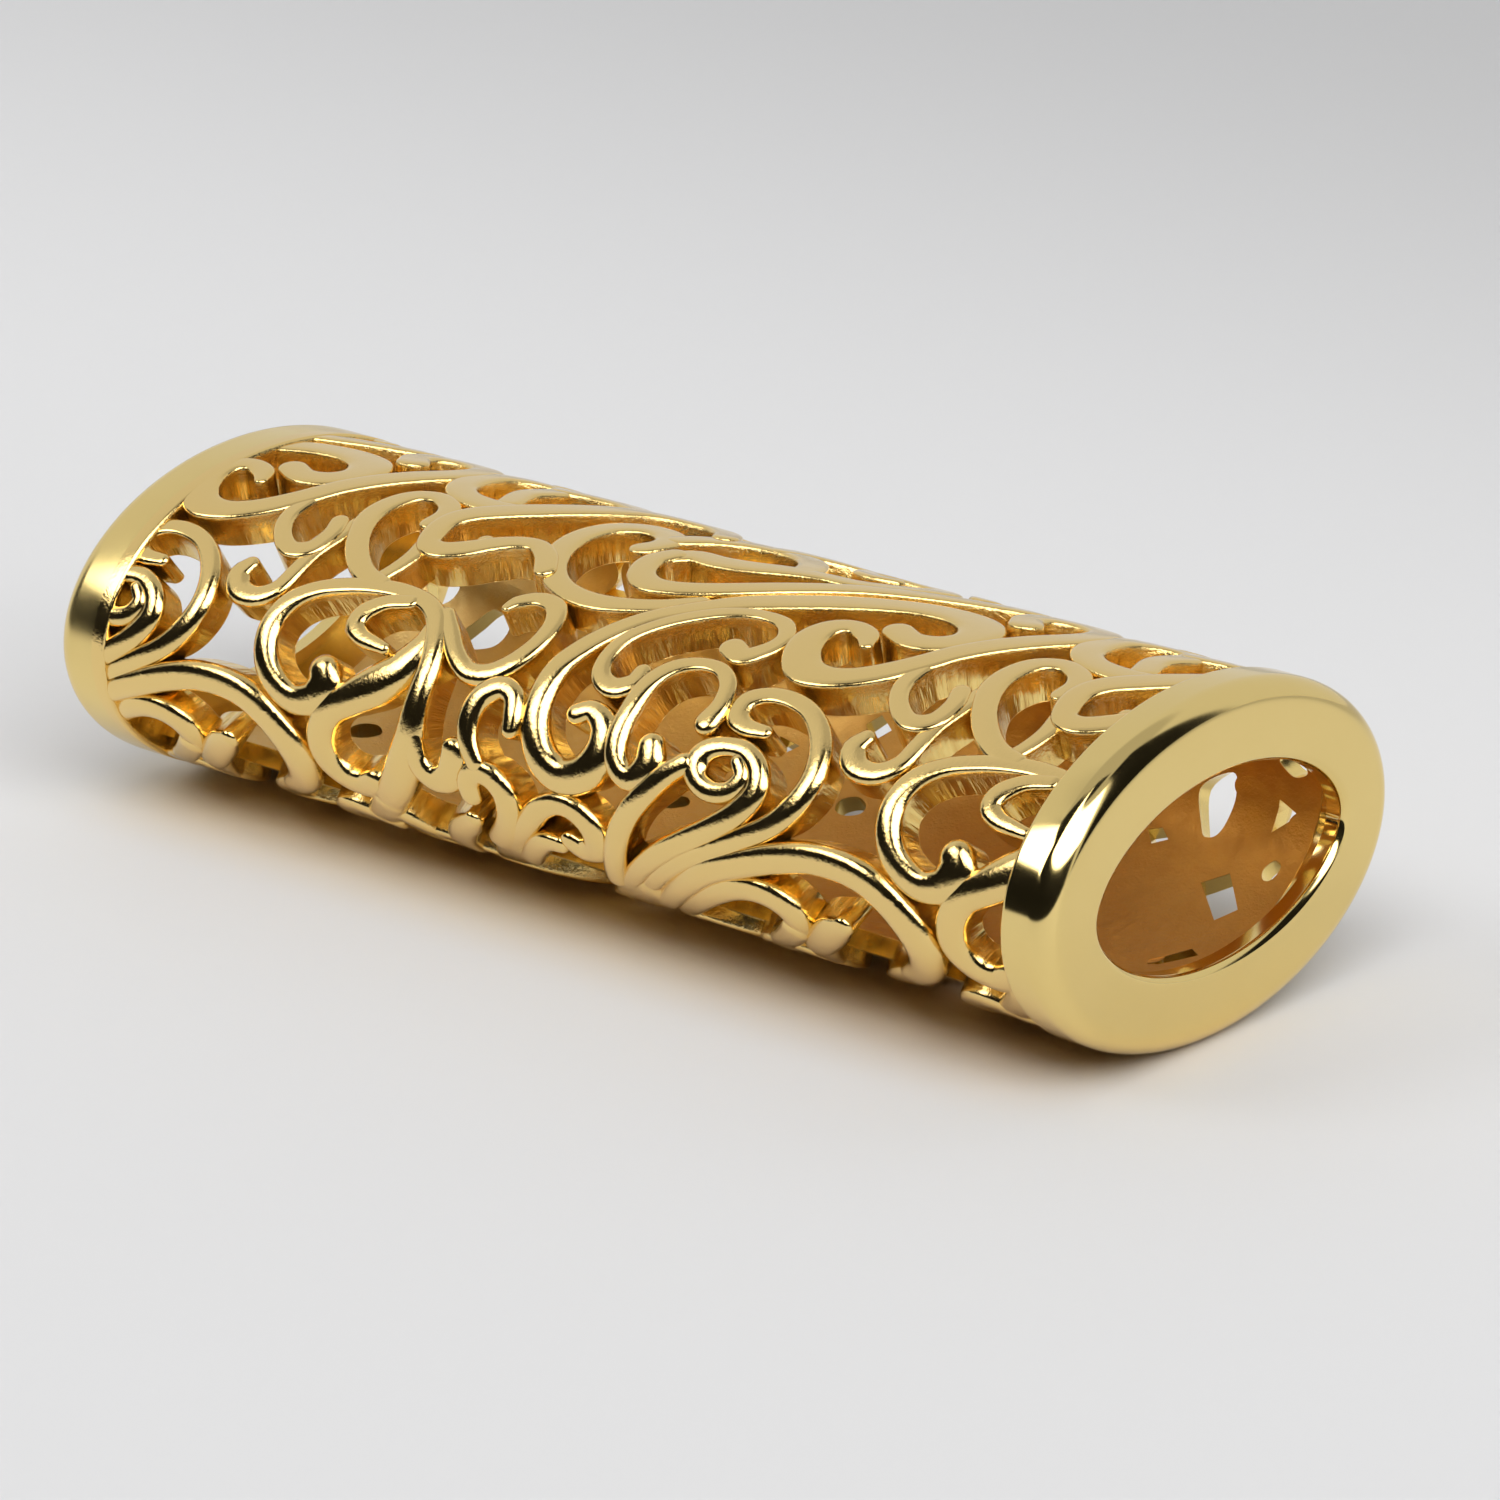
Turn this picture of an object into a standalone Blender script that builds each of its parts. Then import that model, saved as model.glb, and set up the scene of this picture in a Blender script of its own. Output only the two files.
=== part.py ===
"""Pierced scroll sleeve of oval section: an upper and a lower half shell between a raised and a flush end collar.

Units in this file are millimetres until the meshes are written, which is in metres. X runs along the
sleeve with the photographed mouth at +X, Z is up, and the origin is at the bottom centre of the whole.
The scroll pattern is drawn on an unrolled half shell: u runs along X, v runs round the section from the
narrow edge on the -Y side, up over the broad face, to the narrow edge on the +Y side. The lower shell is
drawn the same way and then half-turned about X. Its scrolls stand on a backing with small openings, and a
smaller patch of backing lies at the upper shell's far edge beside the mouth.
"""

import math

import bpy
import numpy as np
from mathutils import Vector
from mathutils.geometry import delaunay_2d_cdt

# Whole sleeve
SLEEVE_LENGTH = 70.0
COLLAR_ACROSS = 28.4
COLLAR_HEIGHT = 18.55
SHELL_RECESS = 0.25

# Shell wall, the backing of the lower shell, and the tongue that enters the collars
SHELL_WALL = 2.0
BACKING_DEPTH = 1.0
BACKING_REACH = 29.0
PATCH_START = (26.0, 32.0)
END_RIM = 0.9
TONGUE_DEPTH = 1.0
TONGUE_CLEARANCE = 0.3
FACE_GAP = 0.12
SEAM_GAP = 0.12

# Collars
COLLAR_LENGTH = 3.0
COLLAR_WALL = 4.24
LIP_LENGTH = 1.2
COLLAR_ROUNDING = 1.3
BORE_ROUNDING = 0.45

# Scroll pattern
PATTERN_REPEAT = 43.5
PATTERN_HALF_TURN = 36.5
STROKE_EXTRA = 0.1
OUTLINE_TOLERANCE = 0.155
SMALLEST_HOLE = 0.7
SLIMMEST_HOLE = 0.16
THINNEST_WEB = 0.6
OPENING_MARGIN = 1.3

# Facets
SHELL_FACETS = 12
COLLAR_FACETS = 40
STEPS_PER_POINT = 3
MENDS = 8

# Each stroke is a scroll of the pattern: (u, v, width) along its middle line
STROKES = {
    "fan_stem": [(4.6, -5.2, 1.1), (5.4, -3.2, 1.15), (6.2, -1.4, 1.15), (7.1, 0.3, 1.15), (8.2, 1.8, 1.1),
                 (9.2, 3.0, 1.0), (10.1, 3.8, 0.9)],
    "fan_spiral": [(5.0, -5.8, 1.0), (7.0, -3.5, 1.0), (9.0, -1.7, 1.1), (11.0, -0.3, 1.1), (12.8, 0.9, 1.15),
                   (14.2, 2.1, 1.2), (14.95, 3.4, 1.15), (14.6, 4.6, 1.0), (13.5, 5.35, 0.85),
                   (12.2, 5.35, 0.85), (11.1, 4.9, 1.1), (10.7, 4.0, 1.3), (11.2, 3.1, 1.0),
                   (12.3, 2.75, 0.95), (13.4, 3.1, 0.85), (13.85, 4.0, 0.7), (13.3, 4.7, 0.6)],
    "fan_curl": [(6.0, -6.2, 1.0), (8.3, -3.6, 1.0), (10.5, -1.75, 1.1), (12.5, -0.6, 1.1), (14.5, 0.6, 1.1),
                 (16.3, 1.8, 1.15), (17.4, 3.1, 1.2), (17.95, 4.6, 1.15), (17.8, 6.1, 1.1), (17.0, 7.5, 1.1),
                 (15.6, 8.6, 1.0), (14.0, 9.05, 1.0), (12.6, 8.9, 1.0), (11.65, 8.2, 1.2), (11.7, 7.2, 1.2),
                 (12.6, 6.7, 0.9), (13.9, 6.7, 0.6)],
    "fan_arch": [(7.0, -6.8, 1.1), (9.5, -4.2, 1.2), (12.0, -2.1, 1.3), (14.5, -0.85, 1.4), (17.0, 0.15, 1.5),
                 (19.3, 0.75, 1.55), (21.5, 0.75, 1.6), (23.3, 0.25, 1.7), (24.8, -0.8, 1.9), (25.7, -2.2, 2.0),
                 (25.85, -3.7, 2.0), (25.2, -5.2, 1.8), (24.0, -6.4, 1.6)],
    "fan_inner": [(8.0, -7.4, 1.0), (10.5, -5.0, 1.1), (12.5, -3.4, 1.3), (14.2, -2.6, 1.4), (15.8, -2.5, 1.6),
                  (17.0, -3.2, 1.7), (17.2, -4.4, 1.6), (16.3, -5.6, 1.4)],
    "fan_leaf": [(17.6, -6.4, 1.4), (18.8, -5.0, 1.7), (20.0, -3.7, 1.6), (21.0, -2.9, 0.9)],
    "strap_c": [(-12.6, -6.0, 1.8), (-11.3, -4.3, 1.9), (-10.1, -2.7, 2.0), (-9.2, -1.0, 2.0), (-8.6, 0.8, 1.7),
                (-8.45, 2.8, 1.3), (-8.5, 5.0, 1.15), (-9.0, 6.6, 1.1), (-9.9, 7.9, 1.1), (-11.2, 8.65, 1.0),
                (-13.0, 8.9, 1.0), (-14.8, 8.75, 1.0), (-16.5, 8.35, 1.0), (-18.3, 7.6, 1.0), (-19.6, 6.4, 1.15),
                (-20.1, 4.8, 1.2), (-19.7, 3.1, 1.3), (-18.7, 1.8, 1.4), (-17.2, 1.05, 1.5), (-15.8, 1.4, 1.8),
                (-15.2, 2.4, 2.0), (-15.4, 3.1, 1.7)],
    "s_scroll": [(-9.7, 7.6, 0.9), (-9.75, 6.2, 1.2), (-10.5, 4.6, 2.0), (-11.8, 3.2, 2.3), (-13.3, 2.0, 1.9),
                 (-14.6, 0.9, 1.6), (-15.3, -0.7, 1.5), (-15.2, -2.4, 1.6), (-14.3, -3.6, 1.7),
                 (-12.9, -3.9, 1.8), (-11.8, -3.3, 1.6)],
    "s_tip": [(-12.0, 8.35, 0.8), (-13.4, 7.9, 0.9), (-14.4, 7.0, 1.1), (-14.5, 6.1, 1.0), (-13.7, 5.55, 0.8),
              (-12.6, 5.35, 0.6), (-11.8, 5.25, 0.4)],
    "j_hook": [(-8.3, 1.0, 1.0), (-7.9, -0.6, 1.2), (-6.9, -1.35, 1.5), (-5.8, -0.9, 1.7), (-5.4, 0.2, 1.6),
               (-5.4, 0.8, 1.3)],
    "small_u": [(-3.6, 0.6, 0.8), (-4.3, 1.7, 1.0), (-4.55, 3.0, 1.1), (-4.2, 4.3, 1.15), (-3.2, 5.0, 1.1),
                (-2.2, 4.7, 1.0), (-1.75, 3.7, 0.95), (-1.6, 2.9, 0.7)],
    "small_arch": [(-4.25, -1.6, 1.1), (-4.3, -0.7, 1.2), (-3.6, 0.0, 1.2), (-2.6, -0.1, 1.3),
                   (-1.8, -0.9, 1.35), (-1.75, -2.2, 1.4), (-2.4, -3.6, 1.5), (-3.6, -5.2, 1.6)],
    "small_spiral": [(-3.6, -6.2, 1.2), (-2.0, -4.2, 1.2), (-0.6, -2.6, 1.2), (0.7, -1.2, 1.2), (2.0, -0.55, 1.1),
                     (3.3, -0.75, 1.3), (4.2, -1.7, 1.5), (4.1, -3.0, 1.6), (3.0, -3.6, 1.5), (2.3, -3.1, 1.1)],
    "small_strand": [(-2.2, -6.3, 1.1), (-0.8, -4.6, 1.1), (0.4, -3.6, 1.0), (1.5, -3.4, 0.8)],
    "big_hook": [(2.1, 4.8, 0.95), (3.0, 5.2, 1.0), (4.1, 4.5, 1.5), (4.35, 3.1, 1.8), (3.6, 1.7, 2.0),
                 (2.2, 1.1, 2.0), (0.8, 1.7, 1.9), (-0.2, 3.2, 1.6), (-0.65, 5.0, 1.4), (-0.55, 7.0, 1.4),
                 (0.1, 8.6, 1.35), (1.0, 10.2, 1.3), (2.3, 12.0, 1.2), (4.0, 13.6, 1.3), (6.0, 15.3, 1.6),
                 (8.0, 16.6, 1.8), (10.0, 17.9, 1.9), (12.0, 19.1, 1.9), (14.0, 20.1, 2.0), (16.0, 20.4, 2.2),
                 (17.8, 19.9, 2.4), (18.8, 18.7, 2.4), (18.8, 17.3, 2.0), (17.9, 16.3, 1.7), (16.5, 16.0, 1.6),
                 (15.1, 16.6, 1.6)],
    "third_scroll": [(10.3, 6.3, 1.3), (10.5, 7.4, 1.0), (10.1, 8.7, 0.9), (9.0, 9.5, 0.8), (7.6, 9.5, 0.8),
                     (6.3, 8.8, 1.0), (5.55, 7.5, 1.1), (5.35, 5.8, 1.05), (5.35, 4.2, 1.05), (5.7, 3.0, 1.1),
                     (6.5, 2.25, 1.1), (7.3, 2.4, 1.3), (7.8, 3.3, 1.6), (7.6, 4.2, 1.3)],
    "loop": [(4.6, 8.1, 0.9), (4.5, 7.3, 1.1), (3.5, 6.75, 1.1), (2.4, 7.2, 1.0), (1.95, 8.4, 0.9),
             (2.2, 10.0, 0.9), (3.2, 11.5, 0.9), (4.6, 12.9, 0.95), (6.2, 14.0, 0.9), (7.9, 14.45, 0.8),
             (9.5, 14.2, 0.9), (10.4, 13.1, 0.9), (10.3, 11.9, 1.1), (9.4, 10.9, 1.3), (8.3, 11.3, 1.4)],
    "large_c": [(3.6, 14.2, 1.2), (2.0, 13.1, 1.2), (0.2, 12.4, 1.2), (-1.5, 12.0, 1.3), (-3.3, 12.05, 1.3),
                (-4.9, 12.6, 1.3), (-6.2, 13.6, 1.4), (-7.2, 15.0, 1.5), (-7.8, 16.8, 1.5), (-7.85, 18.6, 1.5),
                (-7.4, 20.2, 1.6), (-6.3, 21.3, 1.8), (-4.9, 21.3, 1.8), (-3.8, 20.3, 1.6), (-3.6, 19.1, 1.4),
                (-3.9, 18.2, 1.4)],
    "stem_lower": [(-1.6, 18.2, 1.3), (-2.0, 16.8, 1.4), (-1.4, 15.3, 1.5), (-0.2, 14.5, 1.5), (1.2, 14.6, 1.3),
                   (2.8, 15.2, 1.3), (4.5, 16.2, 1.35), (6.3, 17.5, 1.4), (8.2, 19.0, 1.4), (10.0, 20.4, 1.4),
                   (12.0, 21.7, 1.4), (13.8, 22.9, 1.5), (15.6, 24.3, 1.6), (16.6, 26.0, 1.7), (16.1, 27.8, 1.7),
                   (14.4, 28.5, 1.6), (12.9, 27.7, 1.5), (12.9, 26.3, 1.3), (13.9, 25.8, 1.2)],
    "stem_upper": [(-1.9, 17.6, 1.3), (-0.8, 18.9, 1.6), (1.0, 19.0, 1.7), (2.8, 19.5, 1.7), (4.6, 20.4, 1.6),
                   (6.4, 20.9, 1.2), (8.4, 21.2, 1.2), (10.2, 22.3, 1.3), (11.2, 23.9, 1.5), (11.0, 25.7, 1.6),
                   (9.7, 27.0, 1.7), (7.8, 27.3, 1.7), (6.3, 26.3, 1.6), (6.2, 24.8, 1.4), (7.3, 24.1, 1.2),
                   (8.2, 24.7, 1.1)],
    "heart": [(15.0, 14.2, 0.7), (14.3, 15.1, 1.2), (13.1, 15.5, 1.2), (12.1, 14.9, 1.5), (11.8, 13.6, 1.9),
              (12.3, 12.2, 2.0), (13.4, 11.1, 2.0), (14.9, 10.95, 1.6), (16.4, 11.5, 1.5), (17.8, 12.6, 1.6),
              (18.9, 14.0, 1.6), (19.7, 15.5, 1.6), (20.8, 17.3, 1.7), (22.0, 19.2, 1.8), (23.0, 21.0, 1.8),
              (23.2, 22.8, 1.8), (22.4, 24.6, 1.8), (20.6, 25.3, 1.8), (19.0, 24.4, 1.7), (18.7, 22.9, 1.6),
              (19.5, 21.6, 1.8)],
    "oval_loop": [(27.4, 14.6, 1.1), (27.4, 15.9, 1.3), (26.6, 17.0, 1.2), (25.3, 17.5, 1.2), (24.1, 16.9, 1.3),
                  (23.6, 15.4, 1.4), (23.7, 13.7, 1.4), (24.5, 12.0, 1.3), (25.7, 10.5, 1.3), (27.2, 9.4, 1.2),
                  (28.8, 9.0, 1.0)],
    "tail_hook": [(23.4, 13.2, 0.8), (23.2, 11.6, 1.2), (22.9, 9.9, 1.1), (22.8, 8.3, 1.0), (22.5, 7.0, 1.0),
                  (21.4, 6.2, 1.1), (20.1, 6.3, 1.3), (19.4, 7.2, 1.3), (19.7, 8.0, 0.9)],
    "slim_hook": [(19.2, 13.6, 1.0), (19.3, 11.8, 1.0), (20.2, 10.4, 1.0), (21.5, 9.6, 1.1), (22.7, 10.1, 1.2),
                  (22.9, 11.5, 1.1), (22.5, 12.6, 1.0)],
    "round_loop": [(-9.4, 8.3, 0.8), (-8.3, 7.2, 0.9), (-7.2, 6.1, 0.9), (-5.9, 5.35, 1.0), (-4.5, 5.6, 1.1),
                   (-3.4, 6.6, 1.1), (-2.75, 8.0, 1.1), (-2.75, 9.5, 1.1), (-3.5, 10.7, 1.1), (-4.8, 11.0, 1.0),
                   (-5.9, 10.4, 0.9), (-6.2, 9.8, 0.6)],
    "arch_band": [(-6.4, 13.2, 1.2), (-7.4, 14.4, 1.2), (-8.6, 15.1, 1.1), (-9.8, 14.9, 1.2), (-11.0, 14.1, 1.4),
                  (-12.0, 13.2, 1.5), (-13.3, 12.5, 1.4), (-14.4, 12.7, 1.3), (-15.0, 13.8, 1.4),
                  (-15.2, 15.2, 1.5), (-14.7, 16.5, 1.7), (-13.3, 18.0, 1.9), (-11.8, 19.6, 2.0),
                  (-10.6, 21.2, 2.0), (-9.8, 22.6, 2.0), (-8.8, 24.3, 1.8), (-7.0, 25.4, 1.7), (-5.0, 25.5, 1.6),
                  (-3.4, 24.6, 1.5), (-2.4, 23.2, 1.4)],
    "arch_bulb": [(-11.2, 14.0, 1.0), (-11.8, 14.4, 0.9)],
    "arch_post": [(-14.9, 13.2, 1.2), (-14.7, 11.5, 1.0), (-15.0, 10.0, 0.9), (-15.6, 9.0, 0.9)],
    "pear": [(29.0, 19.2, 1.4), (28.3, 21.2, 1.4), (28.5, 23.2, 1.5), (28.2, 25.0, 1.6), (26.8, 26.0, 1.7),
             (25.1, 25.4, 1.8), (24.2, 23.6, 1.8), (24.3, 21.6, 1.8), (25.0, 19.7, 1.7), (26.3, 18.6, 1.6),
             (28.0, 18.2, 1.6), (29.8, 18.3, 1.6)],
    "crown_link": [(5.2, 20.9, 1.6), (4.3, 22.6, 1.6), (2.8, 24.0, 1.7), (0.8, 24.4, 1.7), (-1.2, 23.6, 1.7),
                   (-2.6, 22.0, 1.6), (-3.4, 20.6, 1.4)],
    "far_link": [(28.4, 24.2, 1.5), (30.0, 25.2, 1.6), (32.0, 25.4, 1.6), (33.8, 24.6, 1.6), (34.4, 23.6, 1.5)],
    "fan_trunk": [(6.6, 30.6, 3.4), (4.6, 28.6, 3.0), (2.8, 27.0, 2.4), (1.4, 25.4, 2.0), (0.9, 24.4, 1.7)],
    "small_trunk": [(-2.6, 30.9, 3.0), (-4.2, 29.0, 2.4), (-5.6, 27.2, 2.0), (-6.2, 25.6, 1.7)],
    "strap_root": [(-11.6, 31.8, 1.9), (-13.0, 30.0, 1.9), (-14.6, 28.5, 1.8), (-16.0, 27.0, 1.7),
                   (-16.6, 26.0, 1.7)],
    "arch_root": [(25.2, 31.3, 1.8), (24.0, 30.0, 1.7), (22.4, 28.8, 1.7), (21.4, 27.2, 1.7), (20.9, 25.6, 1.6)],
    "inner_root": [(16.9, 31.6, 1.5), (15.8, 30.4, 1.4), (14.8, 29.4, 1.4), (14.4, 28.4, 1.4)],
    "leaf_root": [(18.2, 30.9, 1.5), (17.4, 29.4, 1.6), (16.6, 27.6, 1.6)],
    "back_scroll": [(-6.2, 26.4, 1.6), (-8.0, 27.8, 1.6), (-10.0, 28.3, 1.7), (-11.7, 27.5, 1.7),
                    (-12.2, 26.0, 1.6), (-11.3, 24.9, 1.4)],
    "back_leaf": [(-8.0, 28.0, 1.2), (-7.6, 29.6, 1.4), (-6.6, 31.1, 1.5), (-5.5, 32.2, 1.3), (-4.7, 33.0, 0.8)],
    "back_strut": [(-10.4, 28.4, 1.3), (-11.2, 29.8, 1.4), (-12.2, 30.8, 1.6)],
    "back_curl": [(26.6, 26.4, 1.6), (26.8, 28.3, 1.6), (27.9, 29.7, 1.6), (29.4, 29.6, 1.5), (30.2, 28.6, 1.4)],
}

# Openings in the lower shell's backing and in the upper shell's patch: corners (u, v)
LOWER_OPENINGS = {
    "crescent": [(24.4, 2.4), (26.3, 0.5), (26.7, 2.0), (26.7, 3.6), (26.5, 5.1), (26.0, 5.6), (25.4, 5.2)],
    "diamond": [(27.2, 8.8), (28.4, 7.6), (30.3, 10.0), (29.6, 11.3)],
    "triangle": [(29.45, 1.6), (30.8, 2.4), (29.5, 4.1)],
    "round": [(30.1, 6.6), (30.45, 5.9), (30.95, 6.1), (31.0, 6.9), (30.75, 7.4), (30.3, 7.3)],
    "slot": [(28.9, 16.5), (30.1, 14.2), (30.8, 14.6), (29.3, 17.2)],
    "mouth_drop": [(22.3, 6.2), (23.1, 5.8), (23.8, 6.5), (23.0, 7.1)],
    "oval": [(3.8, 10.4), (4.6, 9.8), (5.5, 10.3), (5.6, 11.1), (4.8, 11.6), (4.0, 11.3)],
    "floor_drop": [(-5.5, 14.5), (-4.6, 14.0), (-3.9, 14.7), (-4.5, 15.6), (-5.3, 15.5)],
    "high_lozenge": [(2.2, 4.5), (3.0, 3.5), (4.0, 4.4), (3.1, 5.6)],
    "middle_triangle": [(-2.7, 7.0), (-1.1, 7.3), (-2.0, 8.6)],
    "tail_floor": [(-27.2, 16.6), (-26.2, 16.0), (-25.1, 16.9), (-25.6, 18.1), (-26.9, 18.2)],
    "tail_drop": [(-31.2, 2.7), (-30.0, 1.7), (-28.7, 2.5), (-29.0, 4.0), (-30.2, 4.6)],
    "tail_lozenge": [(-27.3, 6.6), (-26.6, 5.0), (-25.6, 3.7), (-24.1, 4.6), (-24.4, 6.4), (-26.2, 7.2)],
    "low_lozenge": [(-14.6, 9.6), (-13.4, 8.6), (-12.2, 9.8), (-13.3, 11.0)],
    "low_triangle": [(11.0, 15.4), (12.8, 15.9), (11.7, 17.3)],
    "low_drop": [(17.8, 11.6), (18.9, 11.0), (19.6, 11.9), (18.9, 12.9), (18.0, 12.6)],
    "under_lozenge": [(-1.2, 21.6), (0.1, 20.4), (1.4, 21.6), (0.2, 22.9)],
    "under_drop": [(20.4, 22.0), (21.4, 21.4), (22.3, 22.3), (21.6, 23.4), (20.6, 23.1)],
    "under_triangle": [(-18.9, 21.2), (-17.2, 21.7), (-18.3, 23.0)],
}
UPPER_OPENINGS = {
    "heart": [(29.4, 34.9), (30.1, 34.2), (31.0, 34.7), (31.1, 35.5), (30.2, 36.0)],
}

A = COLLAR_ACROSS / 2 - SHELL_RECESS
B = COLLAR_HEIGHT / 2 - SHELL_RECESS
COLLAR_START = SLEEVE_LENGTH / 2 - COLLAR_LENGTH
LIP_START = SLEEVE_LENGTH / 2 - LIP_LENGTH
SHELL_END = COLLAR_START - FACE_GAP
TONGUE_LENGTH = LIP_START - COLLAR_START - TONGUE_CLEARANCE
METRE = 0.001

# Arc length round the shell's outer ellipse against the ellipse's own parameter
ANGLES = np.linspace(0.0, math.pi, 4001)
SPEEDS = np.hypot(A * np.sin(ANGLES), B * np.cos(ANGLES))
ARCS = np.concatenate([[0.0], np.cumsum((SPEEDS[1:] + SPEEDS[:-1]) / 2 * np.diff(ANGLES))])
HALF_TURN = ARCS[-1]
PATTERN_SCALE = np.array([1.0, HALF_TURN / PATTERN_HALF_TURN])


def at_normal(turn):
    """Ellipse parameter where the outward normal has turned by this angle from -Y towards +Z."""
    return np.arctan2(B * np.sin(turn), A * np.cos(turn))


def on_section(u, angle, depth):
    """Points at this depth below the shell's outer ellipse, measured along the ellipse's normal."""
    u, angle, depth = np.broadcast_arrays(u, angle, depth)
    normal_y = -np.cos(angle) / A
    normal_z = np.sin(angle) / B
    size = np.hypot(normal_y, normal_z)
    y = -A * np.cos(angle) - depth * normal_y / size
    z = B * np.sin(angle) - depth * normal_z / size
    return np.stack([u, y, z], axis=-1)


def on_shell(u, v, depth):
    return on_section(u, np.interp(v, ARCS, ANGLES), depth)


def smooth_path(points):
    """Catmull-Rom curve through (u, v, width) points."""
    given = np.array(points, float)
    ends = np.vstack([2 * given[0] - given[1], given, 2 * given[-1] - given[-2]])
    s = np.linspace(0.0, 1.0, STEPS_PER_POINT, endpoint=False)[:, None]
    pieces = []
    for before, start, stop, after in zip(ends, ends[1:], ends[2:], ends[3:]):
        bend = 2 * before - 5 * start + 4 * stop - after
        twist = 3 * start - before - 3 * stop + after
        pieces.append(start + (stop - before) / 2 * s + bend / 2 * s**2 + twist / 2 * s**3)
    return np.vstack(pieces + [given[-1:]])


def anticlockwise(corners):
    """The corners in order round their middle, so that a cell on a tight bend never folds over."""
    spokes = corners - corners.mean(axis=0)
    return corners[np.argsort(np.arctan2(spokes[:, 1], spokes[:, 0]))]


def box_cell(low, high):
    return np.array([low, (high[0], low[1]), high, (low[0], high[1])], float)


def ribbon(path):
    """Four-sided cells along one stroke, and a round cap on each end."""
    middle = path[:, :2]
    half = (path[:, 2:] + STROKE_EXTRA) / 2
    along = np.gradient(middle, axis=0)
    along /= np.linalg.norm(along, axis=1)[:, None]
    across = np.stack([-along[:, 1], along[:, 0]], axis=1)
    left = middle + across * half
    right = middle - across * half
    cells = [anticlockwise(np.array([right[i], right[i + 1], left[i + 1], left[i]])) for i in range(len(path) - 1)]
    round_angles = np.arange(8) * math.pi / 4
    ring = np.stack([np.cos(round_angles), np.sin(round_angles)], axis=1)
    caps = [middle[end] + ring * half[end] for end in (0, -1)]
    return cells + caps


def in_cells(points, cells):
    """Which points lie in at least one of the cells, all of them convex."""
    found = np.zeros(len(points), bool)
    for cell in cells:
        near = np.flatnonzero((points > cell.min(0)).all(axis=1) & (points < cell.max(0)).all(axis=1) & ~found)
        side = np.roll(cell, -1, axis=0) - cell
        reach = points[near][:, None, :] - cell
        found[near] = (side[:, 0] * reach[..., 1] - side[:, 1] * reach[..., 0] > 0).all(axis=1)
    return found


def clear_of(cell, openings):
    """Whether a cell keeps clear of every opening with a margin round it."""
    for opening in openings:
        middle = opening.mean(axis=0)
        grown = middle + OPENING_MARGIN * (opening - middle)
        if in_cells(np.vstack([cell, cell.mean(axis=0)]), [grown]).any() or in_cells(grown, [cell]).any():
            return False
    return True


def half_pattern(openings):
    """Every scroll cell that reaches the unrolled half shell and is clear of the openings, with the end rims."""
    low = np.array([-SHELL_END, 0.0])
    high = np.array([SHELL_END, HALF_TURN])
    copies = int(math.ceil(SLEEVE_LENGTH / PATTERN_REPEAT)) + 1
    cells = []
    for points in STROKES.values():
        stroke = ribbon(smooth_path(points))
        for along in range(-copies, copies + 1):
            for turn in (-1, 0, 1):
                shift = np.array([along * PATTERN_REPEAT, turn * PATTERN_HALF_TURN])
                moved = [(cell + shift) * PATTERN_SCALE for cell in stroke]
                reaching = [cell for cell in moved if (cell.max(0) > low).all() and (cell.min(0) < high).all()]
                cells += [cell for cell in reaching if clear_of(cell, openings)]
    for side in (-1, 1):
        ends = sorted([side * (SHELL_END - END_RIM), side * (SHELL_END + END_RIM)])
        cells.append(box_cell((ends[0], -END_RIM), (ends[1], HALF_TURN + END_RIM)))
    return cells


def triangulate(loops, lines):
    """Flat triangulation that keeps closed outlines and single lines as edges: points, anticlockwise triangles."""
    points = []
    edges = []
    for loop in loops:
        places = list(range(len(points), len(points) + len(loop)))
        edges += zip(places, places[1:] + places[:1])
        points += [Vector(p) for p in loop]
    for line in lines:
        edges.append((len(points), len(points) + 1))
        points += [Vector(p) for p in line]
    made = delaunay_2d_cdt(points, edges, [], 0, 0.02)
    flat = np.array([tuple(p) for p in made[0]])
    triangles = np.array(made[2])
    first = flat[triangles[:, 1]] - flat[triangles[:, 0]]
    second = flat[triangles[:, 2]] - flat[triangles[:, 0]]
    turned = first[:, 0] * second[:, 1] - first[:, 1] * second[:, 0] < 0
    triangles[turned] = triangles[turned][:, ::-1]
    return flat, triangles


def outline_edges(triangles):
    """Directed edges that only one triangle uses."""
    edges = np.concatenate([triangles[:, [0, 1]], triangles[:, [1, 2]], triangles[:, [2, 0]]])
    known = {tuple(edge) for edge in edges.tolist()}
    return [edge for edge in known if (edge[1], edge[0]) not in known]


def outline_loops(triangles):
    """Closed loops of vertex numbers round the triangles, material on the left."""
    following = dict(outline_edges(triangles))
    loops = []
    while following:
        start, current = following.popitem()
        loop = [start]
        while current != start:
            loop.append(current)
            current = following.pop(current)
        loops.append(loop)
    return loops


def area_of(loop):
    ahead = np.roll(loop, -1, axis=0)
    return 0.5 * abs(float(np.sum(loop[:, 0] * ahead[:, 1] - ahead[:, 0] * loop[:, 1])))


def thinned(loop):
    """The loop with points dropped while the outline moves by less than the tolerance."""
    count = len(loop)
    far = int(np.argmax(np.linalg.norm(loop - loop[0], axis=1)))
    keep = {0, far}
    spans = [(0, far), (far, count)]
    while spans:
        first, last = spans.pop()
        if last - first < 2:
            continue
        start = loop[first]
        chord = loop[last % count] - start
        size = max(float(np.linalg.norm(chord)), 1e-9)
        inside = loop[first + 1:last] - start
        offsets = np.abs(chord[0] * inside[:, 1] - chord[1] * inside[:, 0]) / size
        worst = int(np.argmax(offsets))
        if offsets[worst] > OUTLINE_TOLERANCE:
            middle = first + 1 + worst
            keep.add(middle)
            spans += [(first, middle), (middle, last)]
    return loop[sorted(keep)]


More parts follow.
